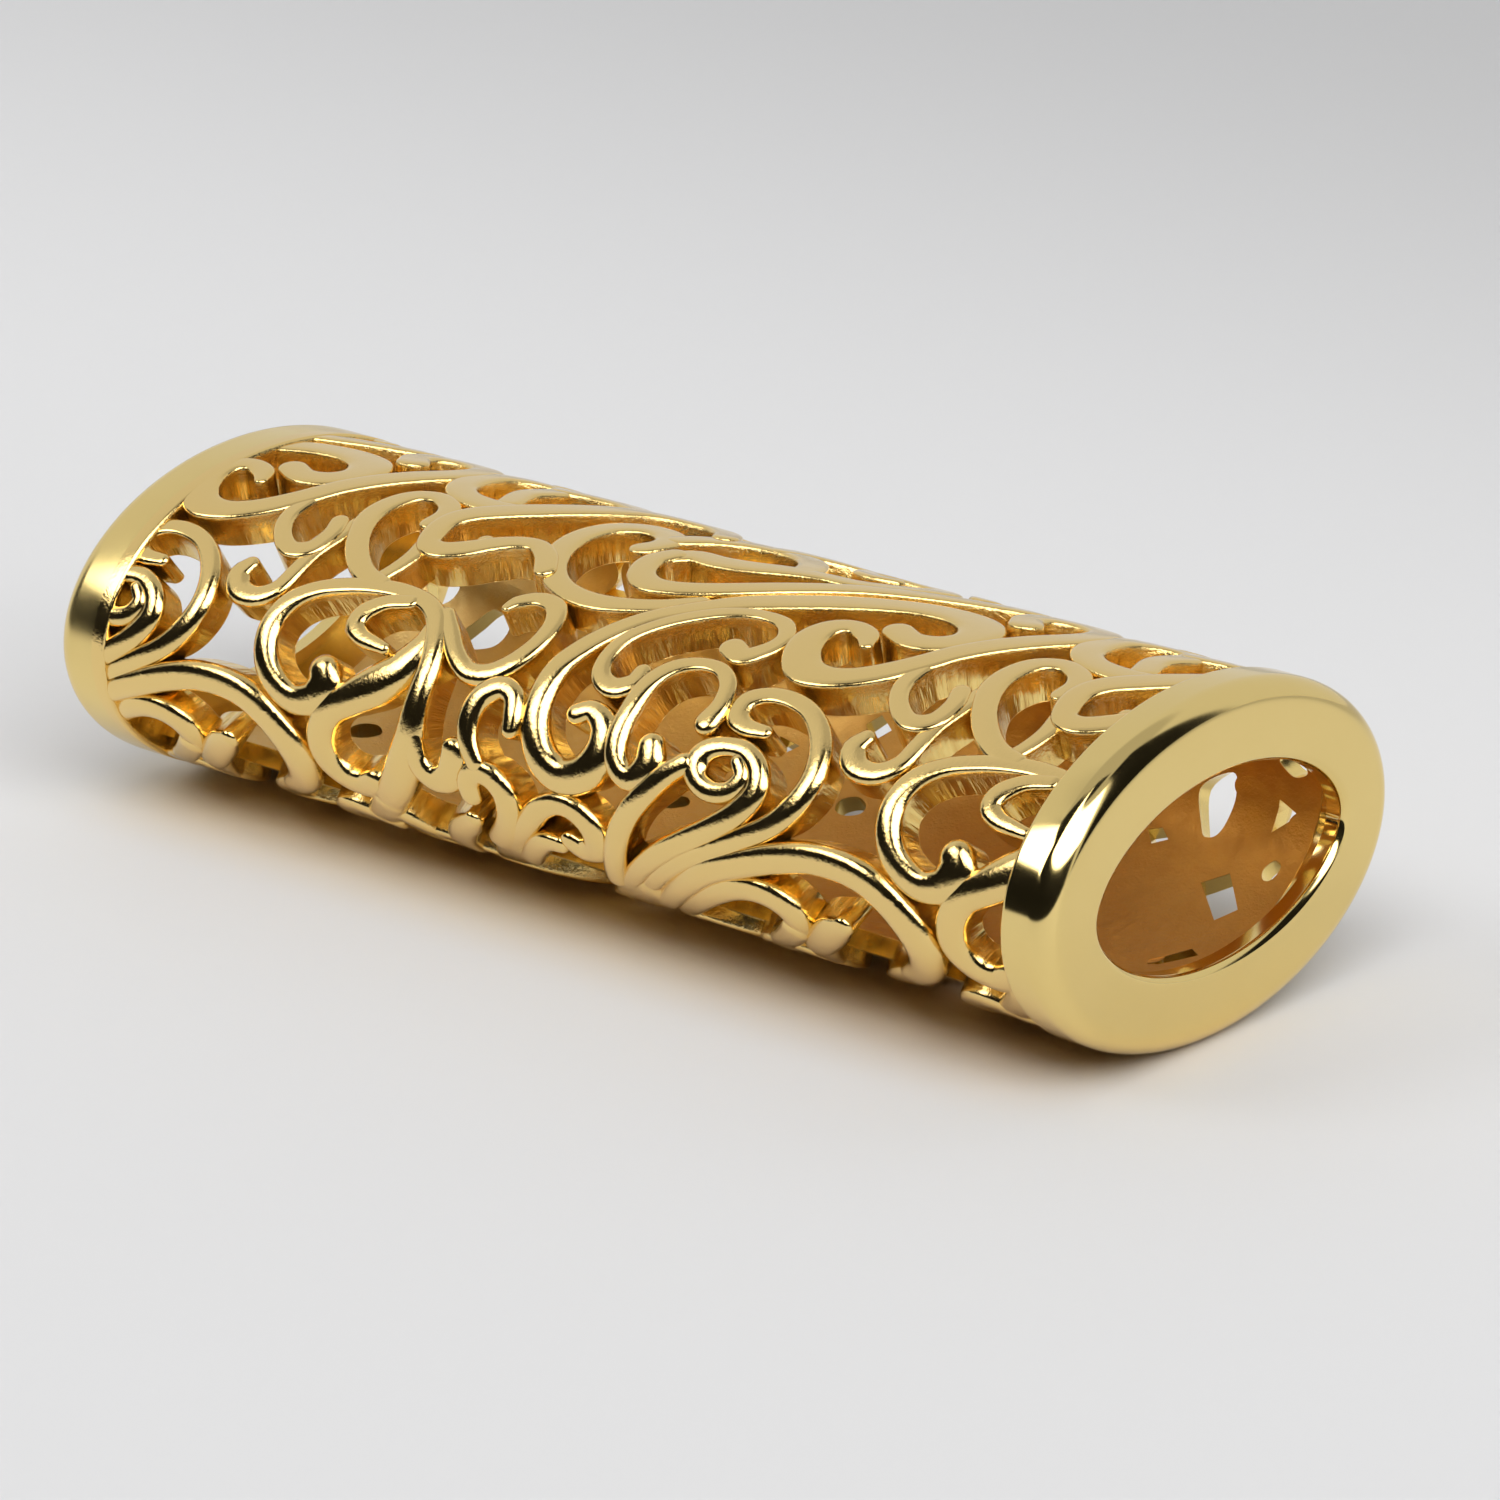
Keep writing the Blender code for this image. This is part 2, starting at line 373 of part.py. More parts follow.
def largest_piece(triangles):
    """Which triangles hang together with the most others across shared edges."""
    parent = list(range(len(triangles)))
    owner = {}

    def root(i):
        while parent[i] != i:
            parent[i] = parent[parent[i]]
            i = parent[i]
        return i

    for place, (a, b, c) in enumerate(triangles.tolist()):
        for edge in ((a, b), (b, c), (c, a)):
            parent[root(owner.setdefault(frozenset(edge), place))] = root(place)
    roots = np.array([root(i) for i in range(len(triangles))])
    names, counts = np.unique(roots, return_counts=True)
    return roots == names[np.argmax(counts)]


def pinched(triangles):
    """Vertices where the outline touches itself."""
    starts = np.array([edge[0] for edge in outline_edges(triangles)])
    names, counts = np.unique(starts, return_counts=True)
    return names[counts > 1]


def webs(places):
    """A small square over each place, to join what only touches there."""
    reach = THINNEST_WEB / 2
    return [box_cell(place - reach, place + reach) for place in places]


def covered(cells, window):
    """Outlines of the union of all cells inside the window, without tiny or slim loops."""
    patches = []
    for attempt in range(MENDS):
        flat, triangles = triangulate([window] + cells + patches, [])
        middles = flat[triangles].mean(axis=1)
        solid = triangles[in_cells(middles, [window]) & in_cells(middles, cells + patches)]
        touching = pinched(solid)
        if len(touching) == 0:
            break
        patches += webs(flat[touching])
    loops = []
    for loop in outline_loops(solid):
        corners = flat[loop]
        length = float(np.linalg.norm(np.roll(corners, -1, axis=0) - corners, axis=1).sum())
        if area_of(corners) > SMALLEST_HOLE and area_of(corners) / length > SLIMMEST_HOLE:
            loops.append(thinned(corners))
    return loops


def inside_any(points, loops):
    """Even-odd test of points against closed outlines."""
    odd = np.zeros(len(points), bool)
    for loop in loops:
        for (x0, y0), (x1, y1) in zip(loop, np.roll(loop, -1, axis=0)):
            crosses = (y0 > points[:, 1]) != (y1 > points[:, 1])
            if y0 != y1:
                odd ^= crosses & (points[:, 0] < x0 + (points[:, 1] - y0) * (x1 - x0) / (y1 - y0))
    return odd


def half_plate(corner, opposite, holes):
    """Flat triangulation of a half shell: points, triangles, and which triangles are scrolls and not backing.

    The backing is a box between two opposite corners, and it is pierced by the holes.
    """
    seam = SEAM_GAP / 2
    window = box_cell((-SHELL_END, seam), (SHELL_END, HALF_TURN - seam))
    openings = [anticlockwise(np.array(corners) * PATTERN_SCALE) for corners in holes.values()]
    backing = [box_cell(np.array(corner) * PATTERN_SCALE, np.array(opposite) * PATTERN_SCALE)]
    loops = covered(half_pattern(openings), window)
    turns = np.linspace(0.0, math.pi, SHELL_FACETS + 1)[1:-1]
    folds = np.interp(np.mod(at_normal(turns), math.pi), ANGLES, ARCS)
    lines = [((-SLEEVE_LENGTH, v), (SLEEVE_LENGTH, v)) for v in folds]
    patches = []
    for attempt in range(MENDS):
        flat, triangles = triangulate([window] + loops + backing + openings + patches, lines)
        middles = flat[triangles].mean(axis=1)
        within = in_cells(middles, [window])
        scroll = within & (inside_any(middles, loops) | in_cells(middles, patches))
        solid = scroll | within & in_cells(middles, backing) & ~in_cells(middles, openings)
        touching = np.union1d(pinched(triangles[scroll]), pinched(triangles[solid]))
        if len(touching) == 0:
            break
        patches += webs(flat[touching])
    kept = np.flatnonzero(solid)[largest_piece(triangles[solid])]
    return flat, triangles[kept], scroll[kept]


def half_shell_mesh(corner, opposite, holes):
    """Vertices and faces of a half shell: skins at three depths, walls between them and a tongue at each end.

    The three copies of the flat points are the scrolls' tops, the backing's face and the bore, in this order.
    """
    flat, triangles, scroll = half_plate(corner, opposite, holes)
    used, triangles = np.unique(triangles, return_inverse=True)
    triangles = triangles.reshape(-1, 3)
    flat = flat[used]
    count = len(flat)
    bore = 2 * count
    points = [on_shell(flat[:, 0], flat[:, 1], depth) for depth in (0.0, BACKING_DEPTH, SHELL_WALL)]
    faces = triangles[scroll].tolist() + (triangles[~scroll] + count).tolist() + (triangles[:, ::-1] + bore).tolist()
    at_end = np.abs(np.abs(flat[:, 0]) - SHELL_END) < 1e-3
    end_points = np.flatnonzero(at_end)
    sides = np.sign(flat[end_points, 0])
    tongue = {}
    for rank, (reach, depth) in enumerate([(0.0, TONGUE_DEPTH), (TONGUE_LENGTH, TONGUE_DEPTH),
                                           (TONGUE_LENGTH, SHELL_WALL)]):
        points.append(on_shell(flat[end_points, 0] + sides * reach, flat[end_points, 1], depth))
        base = 3 * count + rank * len(end_points)
        for place, i in enumerate(end_points.tolist()):
            tongue.setdefault(i, []).append(base + place)
    skin = {}
    for level, part in ((0, triangles[scroll]), (count, triangles[~scroll])):
        for a, b, c in part.tolist():
            skin.update({(a, b): level, (b, c): level, (c, a): level})
    outline = [(i, j) for i, j in skin if (j, i) not in skin]
    ending = {j: skin[i, j] for i, j in outline}
    starting = {i: skin[i, j] for i, j in outline}
    faces += [[j, i, count + i, count + j] for (i, j), level in skin.items() if level < skin.get((j, i), 0)]
    for i, j in outline:
        level = skin[i, j]
        if at_end[i] and at_end[j] and flat[i, 0] * flat[j, 0] > 0:
            root_i, far_top_i, far_low_i = tongue[i]
            root_j, far_top_j, far_low_j = tongue[j]
            faces += [[j, i, root_i, root_j], [root_j, root_i, far_top_i, far_top_j],
                      [far_top_j, far_top_i, far_low_i, far_low_j], [far_low_j, far_low_i, bore + i, bore + j]]
        else:
            down = tongue[i][:1] if at_end[i] else [count + i] if level < ending[i] else []
            up = tongue[j][:1] if at_end[j] else [count + j] if level < starting[j] else []
            faces.append([level + j, level + i] + down + [bore + i, bore + j] + up)
            for place in (i, j):
                if at_end[place]:
                    cap = tongue[place] + [bore + place]
                    faces.append(cap if place == i else cap[::-1])
    return np.vstack(points), faces


def collar_mesh(proud):
    """Vertices and faces of a collar at the +X end: one closed profile carried round the section.

    The profile is an end ring with a band round it, which stands proud of the shells and reaches back over their
    tongues. The facets are turned by half a step, so that a flat one lies underneath for the sleeve to rest on.
    """
    end = SLEEVE_LENGTH / 2
    quarter = np.linspace(0.0, math.pi / 2, 5)
    bore_depth = COLLAR_WALL - SHELL_RECESS
    band_depth = TONGUE_DEPTH - TONGUE_CLEARANCE
    outer = [(end - COLLAR_ROUNDING * (1 - math.sin(q)), COLLAR_ROUNDING * (1 - math.cos(q)) - proud)
             for q in quarter]
    inner = [(end - BORE_ROUNDING * (1 - math.cos(q)), bore_depth - BORE_ROUNDING * (1 - math.sin(q)))
             for q in quarter[::2]]
    back = [(LIP_START, bore_depth), (LIP_START, band_depth), (COLLAR_START, band_depth), (COLLAR_START, -proud)]
    profile = np.array(outer + inner + back)
    turns = (np.arange(COLLAR_FACETS) + 0.5) * 2 * math.pi / COLLAR_FACETS
    rings = on_section(profile[None, :, 0], at_normal(turns)[:, None], profile[None, :, 1])
    count = len(profile)
    here = np.arange(COLLAR_FACETS)[:, None] * count + np.arange(count)[None, :]
    ahead = np.roll(here, -1, axis=0)
    faces = np.stack([here, np.roll(here, -1, axis=1), np.roll(ahead, -1, axis=1), ahead], axis=-1)
    return rings.reshape(-1, 3), faces.reshape(-1, 4).tolist()


def gold(name, roughness):
    material = bpy.data.materials.new(name)
    material.use_nodes = True
    shader = material.node_tree.nodes["Principled BSDF"]
    shader.inputs["Base Color"].default_value = (0.83, 0.62, 0.25, 1.0)
    shader.inputs["Metallic"].default_value = 1.0
    shader.inputs["Roughness"].default_value = roughness
    material.diffuse_color = (0.83, 0.62, 0.25, 1.0)
    return material


def add_node(name, points, faces, turned_about, lift, roughness):
    """One named object of the points that its faces use, half-turned about X or Z where asked, then raised."""
    used = sorted({i for face in faces for i in face})
    places = {old: new for new, old in enumerate(used)}
    placed = points[used] * {"": (1, 1, 1), "X": (1, -1, -1), "Z": (-1, -1, 1)}[turned_about]
    placed = placed + np.array([0.0, 0.0, lift])
    mesh = bpy.data.meshes.new(name)
    mesh.from_pydata((placed * METRE).tolist(), [], [[places[i] for i in face] for face in faces])
    mesh.validate()
    mesh.materials.append(gold(name + "_gold", roughness))
    bpy.context.scene.collection.objects.link(bpy.data.objects.new(name, mesh))


def main():
    for old in list(bpy.data.objects):
        bpy.data.objects.remove(old)
    end = SLEEVE_LENGTH / 2
    top = PATTERN_HALF_TURN + SEAM_GAP
    collar_points, collar_faces = collar_mesh(SHELL_RECESS)
    lift = -collar_points[:, 2].min()
    add_node("upper_scroll_shell", *half_shell_mesh(PATCH_START, (end, top), UPPER_OPENINGS), "", lift, 0.25)
    add_node("lower_scroll_shell", *half_shell_mesh((-end, -SEAM_GAP), (end, BACKING_REACH), LOWER_OPENINGS), "X",
             lift, 0.25)
    add_node("mouth_collar", collar_points, collar_faces, "", lift, 0.2)
    add_node("tail_collar", *collar_mesh(0.0), "Z", lift, 0.2)


main()
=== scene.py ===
"""Looks of a gold-plated, pierced scroll sleeve of oval section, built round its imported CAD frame.

All lengths are metres, but for the tables of the pattern, which are millimetres. X runs along the sleeve,
towards the open mouth at +X, and Z is up. The scrollwork is drawn on the unrolled outer wall: u runs along
X, and v runs round the section from the narrow edge on the -Y side, over the broad top, to the other narrow
edge and back underneath.
"""

import math

import bmesh
import bpy
import numpy as np
from bpy.props import FloatProperty, FloatVectorProperty, PointerProperty
from mathutils import Matrix, Vector
from mathutils.geometry import delaunay_2d_cdt


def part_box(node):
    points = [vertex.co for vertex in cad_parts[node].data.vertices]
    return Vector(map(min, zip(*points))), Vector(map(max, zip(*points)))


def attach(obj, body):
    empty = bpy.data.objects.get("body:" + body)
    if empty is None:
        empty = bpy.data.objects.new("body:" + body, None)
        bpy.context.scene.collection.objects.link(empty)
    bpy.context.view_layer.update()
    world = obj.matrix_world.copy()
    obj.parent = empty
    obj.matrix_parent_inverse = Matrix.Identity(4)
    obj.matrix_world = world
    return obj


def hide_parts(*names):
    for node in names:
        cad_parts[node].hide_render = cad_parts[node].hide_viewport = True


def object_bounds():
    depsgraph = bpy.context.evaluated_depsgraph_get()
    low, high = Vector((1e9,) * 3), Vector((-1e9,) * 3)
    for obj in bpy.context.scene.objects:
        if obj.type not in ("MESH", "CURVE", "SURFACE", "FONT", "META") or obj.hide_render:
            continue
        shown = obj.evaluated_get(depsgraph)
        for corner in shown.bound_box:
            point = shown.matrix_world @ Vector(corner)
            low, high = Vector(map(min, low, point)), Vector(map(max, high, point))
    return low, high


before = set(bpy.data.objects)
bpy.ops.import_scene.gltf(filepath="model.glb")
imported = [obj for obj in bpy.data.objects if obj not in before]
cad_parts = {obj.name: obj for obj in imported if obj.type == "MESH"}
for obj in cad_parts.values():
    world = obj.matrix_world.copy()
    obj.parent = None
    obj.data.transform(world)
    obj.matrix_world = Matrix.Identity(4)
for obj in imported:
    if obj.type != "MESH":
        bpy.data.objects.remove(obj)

bl_info = {
    "name": "Gold Scroll Sleeve",
    "version": (1, 0, 0),
    "blender": (4, 5, 0),
    "location": "3D View > Sidebar > Sleeve",
    "description": "Scrollwork, collars, gold finishes and stage of a pierced oval sleeve",
    "category": "Object",
}

MM = 0.001
BODY = "root"

# The CAD box, and the sleeve's middle height, which comes from the collar
CAD_LOW, CAD_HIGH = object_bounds()
COLLAR_LOW, COLLAR_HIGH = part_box("mouth_collar")
MIDDLE = (COLLAR_LOW.z + COLLAR_HIGH.z) / 2
HALF_LENGTH = (CAD_HIGH.x - CAD_LOW.x) / 2

# Half axes of the shell's outer ellipse, which lies this far below the collars
SHELL_RECESS = 0.25 * MM
HALF_ACROSS = 14.2 * MM - SHELL_RECESS
HALF_HEIGHT = 9.275 * MM - SHELL_RECESS

# Scroll pattern, in millimetres: its repeat along and round, where domed crowns end and flat ones begin, and
# the room kept round a stroke; the order of its layers, and the share of their steps left at the bore
PATTERN_REPEAT = 43.5
PATTERN_HALF_TURN = 36.5
ROUND_TO_V = 4.5
FLAT_FROM_V = 9.5
LAYERS = 5
LAYER_ORDER = 2
LAYER_AT_BORE = 0.1
STROKE_REACH = 2.0

# Backing, in millimetres: its reach round, the upper patch's corner, how far it runs past the seam before
# the cut, the step between fold lines and the room round an opening; its inner face as a share of the wall
BACKING_REACH = 29.0
PATCH_START = (26.0, 32.0)
SEAM_OVERLAP = 0.5
FOLD_STEP = 0.4
OPENING_MARGIN = 1.3
BORE_COVER = 1.01

# Counts of points, and the count of corners from which an opening's outline is curved
ELLIPSE_POINTS = 8001
CURVE_STEPS = 16
OPENING_STEPS = 6
FEWEST_STEPS = 4
ARC_POINTS = 9
CAP_POINTS = 7
RIM_POINTS = 361
COLLAR_STEPS = 480
QUARTER_POINTS = 17
RING_POINTS = 4
CURVED_FROM = 5

# Joints: how far rims and shells run under a collar, the level collar's back edge, the parting line in turns
# of the normal, the angle of a sharp corner, the distances within which points are joined, and a tolerance
RIM_TUCK = 0.1 * MM
SHELL_TUCK = 0.05 * MM
LEVEL_BACK = 0.02 * MM
PARTING_REACH = 0.012
PARTING_WIDTH = 0.006
PARTING_POINTS = 9
SHARP_ANGLE = math.radians(35)
WELD = 1e-7
CUT_WELD = 1e-8
PLATE_WELD = 1e-4
HAIR = 1e-9

# Each stroke is a scroll of the pattern: (u, v, width) along its middle line, in millimetres
STROKES = {
    "fan_stem": [
        (4.6, -5.2, 1.1), (5.4, -3.2, 1.15), (6.2, -1.4, 1.15), (7.1, 0.3, 1.15), (8.2, 1.8, 1.1),
        (9.2, 3.0, 1.0), (10.1, 3.8, 0.9),
    ],
    "fan_spiral": [
        (5.0, -5.8, 1.0), (7.0, -3.5, 1.0), (9.0, -1.7, 1.1), (11.0, -0.3, 1.1), (12.8, 0.9, 1.15),
        (14.2, 2.1, 1.2), (14.95, 3.4, 1.15), (14.6, 4.6, 1.0), (13.5, 5.35, 0.85), (12.2, 5.35, 0.85),
        (11.1, 4.9, 1.1), (10.7, 4.0, 1.3), (11.2, 3.1, 1.0), (12.3, 2.75, 0.95), (13.4, 3.1, 0.85),
        (13.85, 4.0, 0.7), (13.3, 4.7, 0.6),
    ],
    "fan_curl": [
        (6.0, -6.2, 1.0), (8.3, -3.6, 1.0), (10.5, -1.75, 1.1), (12.5, -0.6, 1.1), (14.5, 0.6, 1.1),
        (16.3, 1.8, 1.15), (17.4, 3.1, 1.2), (17.95, 4.6, 1.15), (17.8, 6.1, 1.1), (17.0, 7.5, 1.1),
        (15.6, 8.6, 1.0), (14.0, 9.05, 1.0), (12.6, 8.9, 1.0), (11.65, 8.2, 1.2), (11.7, 7.2, 1.2),
        (12.6, 6.7, 0.9), (13.9, 6.7, 0.6),
    ],
    "fan_arch": [
        (7.0, -6.8, 1.1), (9.5, -4.2, 1.2), (12.0, -2.1, 1.3), (14.5, -0.85, 1.4), (17.0, 0.15, 1.5),
        (19.3, 0.75, 1.55), (21.5, 0.75, 1.6), (23.3, 0.25, 1.7), (24.8, -0.8, 1.9), (25.7, -2.2, 2.0),
        (25.85, -3.7, 2.0), (25.2, -5.2, 1.8), (24.0, -6.4, 1.6),
    ],
    "fan_inner": [
        (8.0, -7.4, 1.0), (10.5, -5.0, 1.1), (12.5, -3.4, 1.3), (14.2, -2.6, 1.4), (15.8, -2.5, 1.6),
        (17.0, -3.2, 1.7), (17.2, -4.4, 1.6), (16.3, -5.6, 1.4),
    ],
    "fan_leaf": [(17.6, -6.4, 1.4), (18.8, -5.0, 1.7), (20.0, -3.7, 1.6), (21.0, -2.9, 0.9)],
    "strap_c": [
        (-12.6, -6.0, 1.8), (-11.3, -4.3, 1.9), (-10.1, -2.7, 2.0), (-9.2, -1.0, 2.0), (-8.6, 0.8, 1.7),
        (-8.45, 2.8, 1.3), (-8.5, 5.0, 1.15), (-9.0, 6.6, 1.1), (-9.9, 7.9, 1.1), (-11.2, 8.65, 1.0),
        (-13.0, 8.9, 1.0), (-14.8, 8.75, 1.0), (-16.5, 8.35, 1.0), (-18.3, 7.6, 1.0), (-19.6, 6.4, 1.15),
        (-20.1, 4.8, 1.2), (-19.7, 3.1, 1.3), (-18.7, 1.8, 1.4), (-17.2, 1.05, 1.5), (-15.8, 1.4, 1.8),
        (-15.2, 2.4, 2.0), (-15.4, 3.1, 1.7),
    ],
    "s_scroll": [
        (-9.7, 7.6, 0.9), (-9.75, 6.2, 1.2), (-10.5, 4.6, 2.0), (-11.8, 3.2, 2.3), (-13.3, 2.0, 1.9),
        (-14.6, 0.9, 1.6), (-15.3, -0.7, 1.5), (-15.2, -2.4, 1.6), (-14.3, -3.6, 1.7), (-12.9, -3.9, 1.8),
        (-11.8, -3.3, 1.6),
    ],
    "s_tip": [
        (-12.0, 8.35, 0.8), (-13.4, 7.9, 0.9), (-14.4, 7.0, 1.1), (-14.5, 6.1, 1.0), (-13.7, 5.55, 0.8),
        (-12.6, 5.35, 0.6), (-11.8, 5.25, 0.4),
    ],
    "j_hook": [
        (-8.3, 1.0, 1.0), (-7.9, -0.6, 1.2), (-6.9, -1.35, 1.5), (-5.8, -0.9, 1.7), (-5.4, 0.2, 1.6),
        (-5.4, 0.8, 1.3),
    ],
    "small_u": [
        (-3.6, 0.6, 0.8), (-4.3, 1.7, 1.0), (-4.55, 3.0, 1.1), (-4.2, 4.3, 1.15), (-3.2, 5.0, 1.1),
        (-2.2, 4.7, 1.0), (-1.75, 3.7, 0.95), (-1.6, 2.9, 0.7),
    ],
    "small_arch": [
        (-4.25, -1.6, 1.1), (-4.3, -0.7, 1.2), (-3.6, 0.0, 1.2), (-2.6, -0.1, 1.3), (-1.8, -0.9, 1.35),
        (-1.75, -2.2, 1.4), (-2.4, -3.6, 1.5), (-3.6, -5.2, 1.6),
    ],
    "small_spiral": [
        (-3.6, -6.2, 1.2), (-2.0, -4.2, 1.2), (-0.6, -2.6, 1.2), (0.7, -1.2, 1.2), (2.0, -0.55, 1.1),
        (3.3, -0.75, 1.3), (4.2, -1.7, 1.5), (4.1, -3.0, 1.6), (3.0, -3.6, 1.5), (2.3, -3.1, 1.1),
    ],
    "small_strand": [(-2.2, -6.3, 1.1), (-0.8, -4.6, 1.1), (0.4, -3.6, 1.0), (1.5, -3.4, 0.8)],
    "big_hook": [
        (2.1, 4.8, 0.95), (3.0, 5.2, 1.0), (4.1, 4.5, 1.5), (4.35, 3.1, 1.8), (3.6, 1.7, 2.0),
        (2.2, 1.1, 2.0), (0.8, 1.7, 1.9), (-0.2, 3.2, 1.6), (-0.65, 5.0, 1.4), (-0.55, 7.0, 1.4),
        (0.1, 8.6, 1.35), (1.0, 10.2, 1.3), (2.3, 12.0, 1.2), (4.0, 13.6, 1.3), (6.0, 15.3, 1.6),
        (8.0, 16.6, 1.8), (10.0, 17.9, 1.9), (12.0, 19.1, 1.9), (14.0, 20.1, 2.0), (16.0, 20.4, 2.2),
        (17.8, 19.9, 2.4), (18.8, 18.7, 2.4), (18.8, 17.3, 2.0), (17.9, 16.3, 1.7), (16.5, 16.0, 1.6),
        (15.1, 16.6, 1.6),
    ],
    "third_scroll": [
        (10.3, 6.3, 1.3), (10.5, 7.4, 1.0), (10.1, 8.7, 0.9), (9.0, 9.5, 0.8), (7.6, 9.5, 0.8),
        (6.3, 8.8, 1.0), (5.55, 7.5, 1.1), (5.35, 5.8, 1.05), (5.35, 4.2, 1.05), (5.7, 3.0, 1.1),
        (6.5, 2.25, 1.1), (7.3, 2.4, 1.3), (7.8, 3.3, 1.6), (7.6, 4.2, 1.3),
    ],
    "loop": [
        (4.6, 8.1, 0.9), (4.5, 7.3, 1.1), (3.5, 6.75, 1.1), (2.4, 7.2, 1.0), (1.95, 8.4, 0.9),
        (2.2, 10.0, 0.9), (3.2, 11.5, 0.9), (4.6, 12.9, 0.95), (6.2, 14.0, 0.9), (7.9, 14.45, 0.8),
        (9.5, 14.2, 0.9), (10.4, 13.1, 0.9), (10.3, 11.9, 1.1), (9.4, 10.9, 1.3), (8.3, 11.3, 1.4),
    ],
    "large_c": [
        (3.6, 14.2, 1.2), (2.0, 13.1, 1.2), (0.2, 12.4, 1.2), (-1.5, 12.0, 1.3), (-3.3, 12.05, 1.3),
        (-4.9, 12.6, 1.3), (-6.2, 13.6, 1.4), (-7.2, 15.0, 1.5), (-7.8, 16.8, 1.5), (-7.85, 18.6, 1.5),
        (-7.4, 20.2, 1.6), (-6.3, 21.3, 1.8), (-4.9, 21.3, 1.8), (-3.8, 20.3, 1.6), (-3.6, 19.1, 1.4),
        (-3.9, 18.2, 1.4),
    ],
    "stem_lower": [
        (-1.6, 18.2, 1.3), (-2.0, 16.8, 1.4), (-1.4, 15.3, 1.5), (-0.2, 14.5, 1.5), (1.2, 14.6, 1.3),
        (2.8, 15.2, 1.3), (4.5, 16.2, 1.35), (6.3, 17.5, 1.4), (8.2, 19.0, 1.4), (10.0, 20.4, 1.4),
        (12.0, 21.7, 1.4), (13.8, 22.9, 1.5), (15.6, 24.3, 1.6), (16.6, 26.0, 1.7), (16.1, 27.8, 1.7),
        (14.4, 28.5, 1.6), (12.9, 27.7, 1.5), (12.9, 26.3, 1.3), (13.9, 25.8, 1.2),
    ],
    "stem_upper": [
        (-1.9, 17.6, 1.3), (-0.8, 18.9, 1.6), (1.0, 19.0, 1.7), (2.8, 19.5, 1.7), (4.6, 20.4, 1.6),
        (6.4, 20.9, 1.2), (8.4, 21.2, 1.2), (10.2, 22.3, 1.3), (11.2, 23.9, 1.5), (11.0, 25.7, 1.6),
        (9.7, 27.0, 1.7), (7.8, 27.3, 1.7), (6.3, 26.3, 1.6), (6.2, 24.8, 1.4), (7.3, 24.1, 1.2),
        (8.2, 24.7, 1.1),
    ],
    "heart": [
        (15.0, 14.2, 0.7), (14.3, 15.1, 1.2), (13.1, 15.5, 1.2), (12.1, 14.9, 1.5), (11.8, 13.6, 1.9),
        (12.3, 12.2, 2.0), (13.4, 11.1, 2.0), (14.9, 10.95, 1.6), (16.4, 11.5, 1.5), (17.8, 12.6, 1.6),
        (18.9, 14.0, 1.6), (19.7, 15.5, 1.6), (20.8, 17.3, 1.7), (22.0, 19.2, 1.8), (23.0, 21.0, 1.8),
        (23.2, 22.8, 1.8), (22.4, 24.6, 1.8), (20.6, 25.3, 1.8), (19.0, 24.4, 1.7), (18.7, 22.9, 1.6),
        (19.5, 21.6, 1.8),
    ],
    "oval_loop": [
        (27.4, 14.6, 1.1), (27.4, 15.9, 1.3), (26.6, 17.0, 1.2), (25.3, 17.5, 1.2), (24.1, 16.9, 1.3),
        (23.6, 15.4, 1.4), (23.7, 13.7, 1.4), (24.5, 12.0, 1.3), (25.7, 10.5, 1.3), (27.2, 9.4, 1.2),
        (28.8, 9.0, 1.0),
    ],
    "tail_hook": [
        (23.4, 13.2, 0.8), (23.2, 11.6, 1.2), (22.9, 9.9, 1.1), (22.8, 8.3, 1.0), (22.5, 7.0, 1.0),
        (21.4, 6.2, 1.1), (20.1, 6.3, 1.3), (19.4, 7.2, 1.3), (19.7, 8.0, 0.9),
    ],
    "slim_hook": [
        (19.2, 13.6, 1.0), (19.3, 11.8, 1.0), (20.2, 10.4, 1.0), (21.5, 9.6, 1.1), (22.7, 10.1, 1.2),
        (22.9, 11.5, 1.1), (22.5, 12.6, 1.0),
    ],
    "round_loop": [
        (-9.4, 8.3, 0.8), (-8.3, 7.2, 0.9), (-7.2, 6.1, 0.9), (-5.9, 5.35, 1.0), (-4.5, 5.6, 1.1),
        (-3.4, 6.6, 1.1), (-2.75, 8.0, 1.1), (-2.75, 9.5, 1.1), (-3.5, 10.7, 1.1), (-4.8, 11.0, 1.0),
        (-5.9, 10.4, 0.9), (-6.2, 9.8, 0.6),
    ],
    "arch_band": [
        (-6.4, 13.2, 1.2), (-7.4, 14.4, 1.2), (-8.6, 15.1, 1.1), (-9.8, 14.9, 1.2), (-11.0, 14.1, 1.4),
        (-12.0, 13.2, 1.5), (-13.3, 12.5, 1.4), (-14.4, 12.7, 1.3), (-15.0, 13.8, 1.4), (-15.2, 15.2, 1.5),
        (-14.7, 16.5, 1.7), (-13.3, 18.0, 1.9), (-11.8, 19.6, 2.0), (-10.6, 21.2, 2.0), (-9.8, 22.6, 2.0),
        (-8.8, 24.3, 1.8), (-7.0, 25.4, 1.7), (-5.0, 25.5, 1.6), (-3.4, 24.6, 1.5), (-2.4, 23.2, 1.4),
    ],
    "arch_bulb": [(-11.2, 14.0, 1.0), (-11.8, 14.4, 0.9)],
    "arch_post": [(-14.9, 13.2, 1.2), (-14.7, 11.5, 1.0), (-15.0, 10.0, 0.9), (-15.6, 9.0, 0.9)],
    "pear": [
        (29.0, 19.2, 1.4), (28.3, 21.2, 1.4), (28.5, 23.2, 1.5), (28.2, 25.0, 1.6), (26.8, 26.0, 1.7),
        (25.1, 25.4, 1.8), (24.2, 23.6, 1.8), (24.3, 21.6, 1.8), (25.0, 19.7, 1.7), (26.3, 18.6, 1.6),
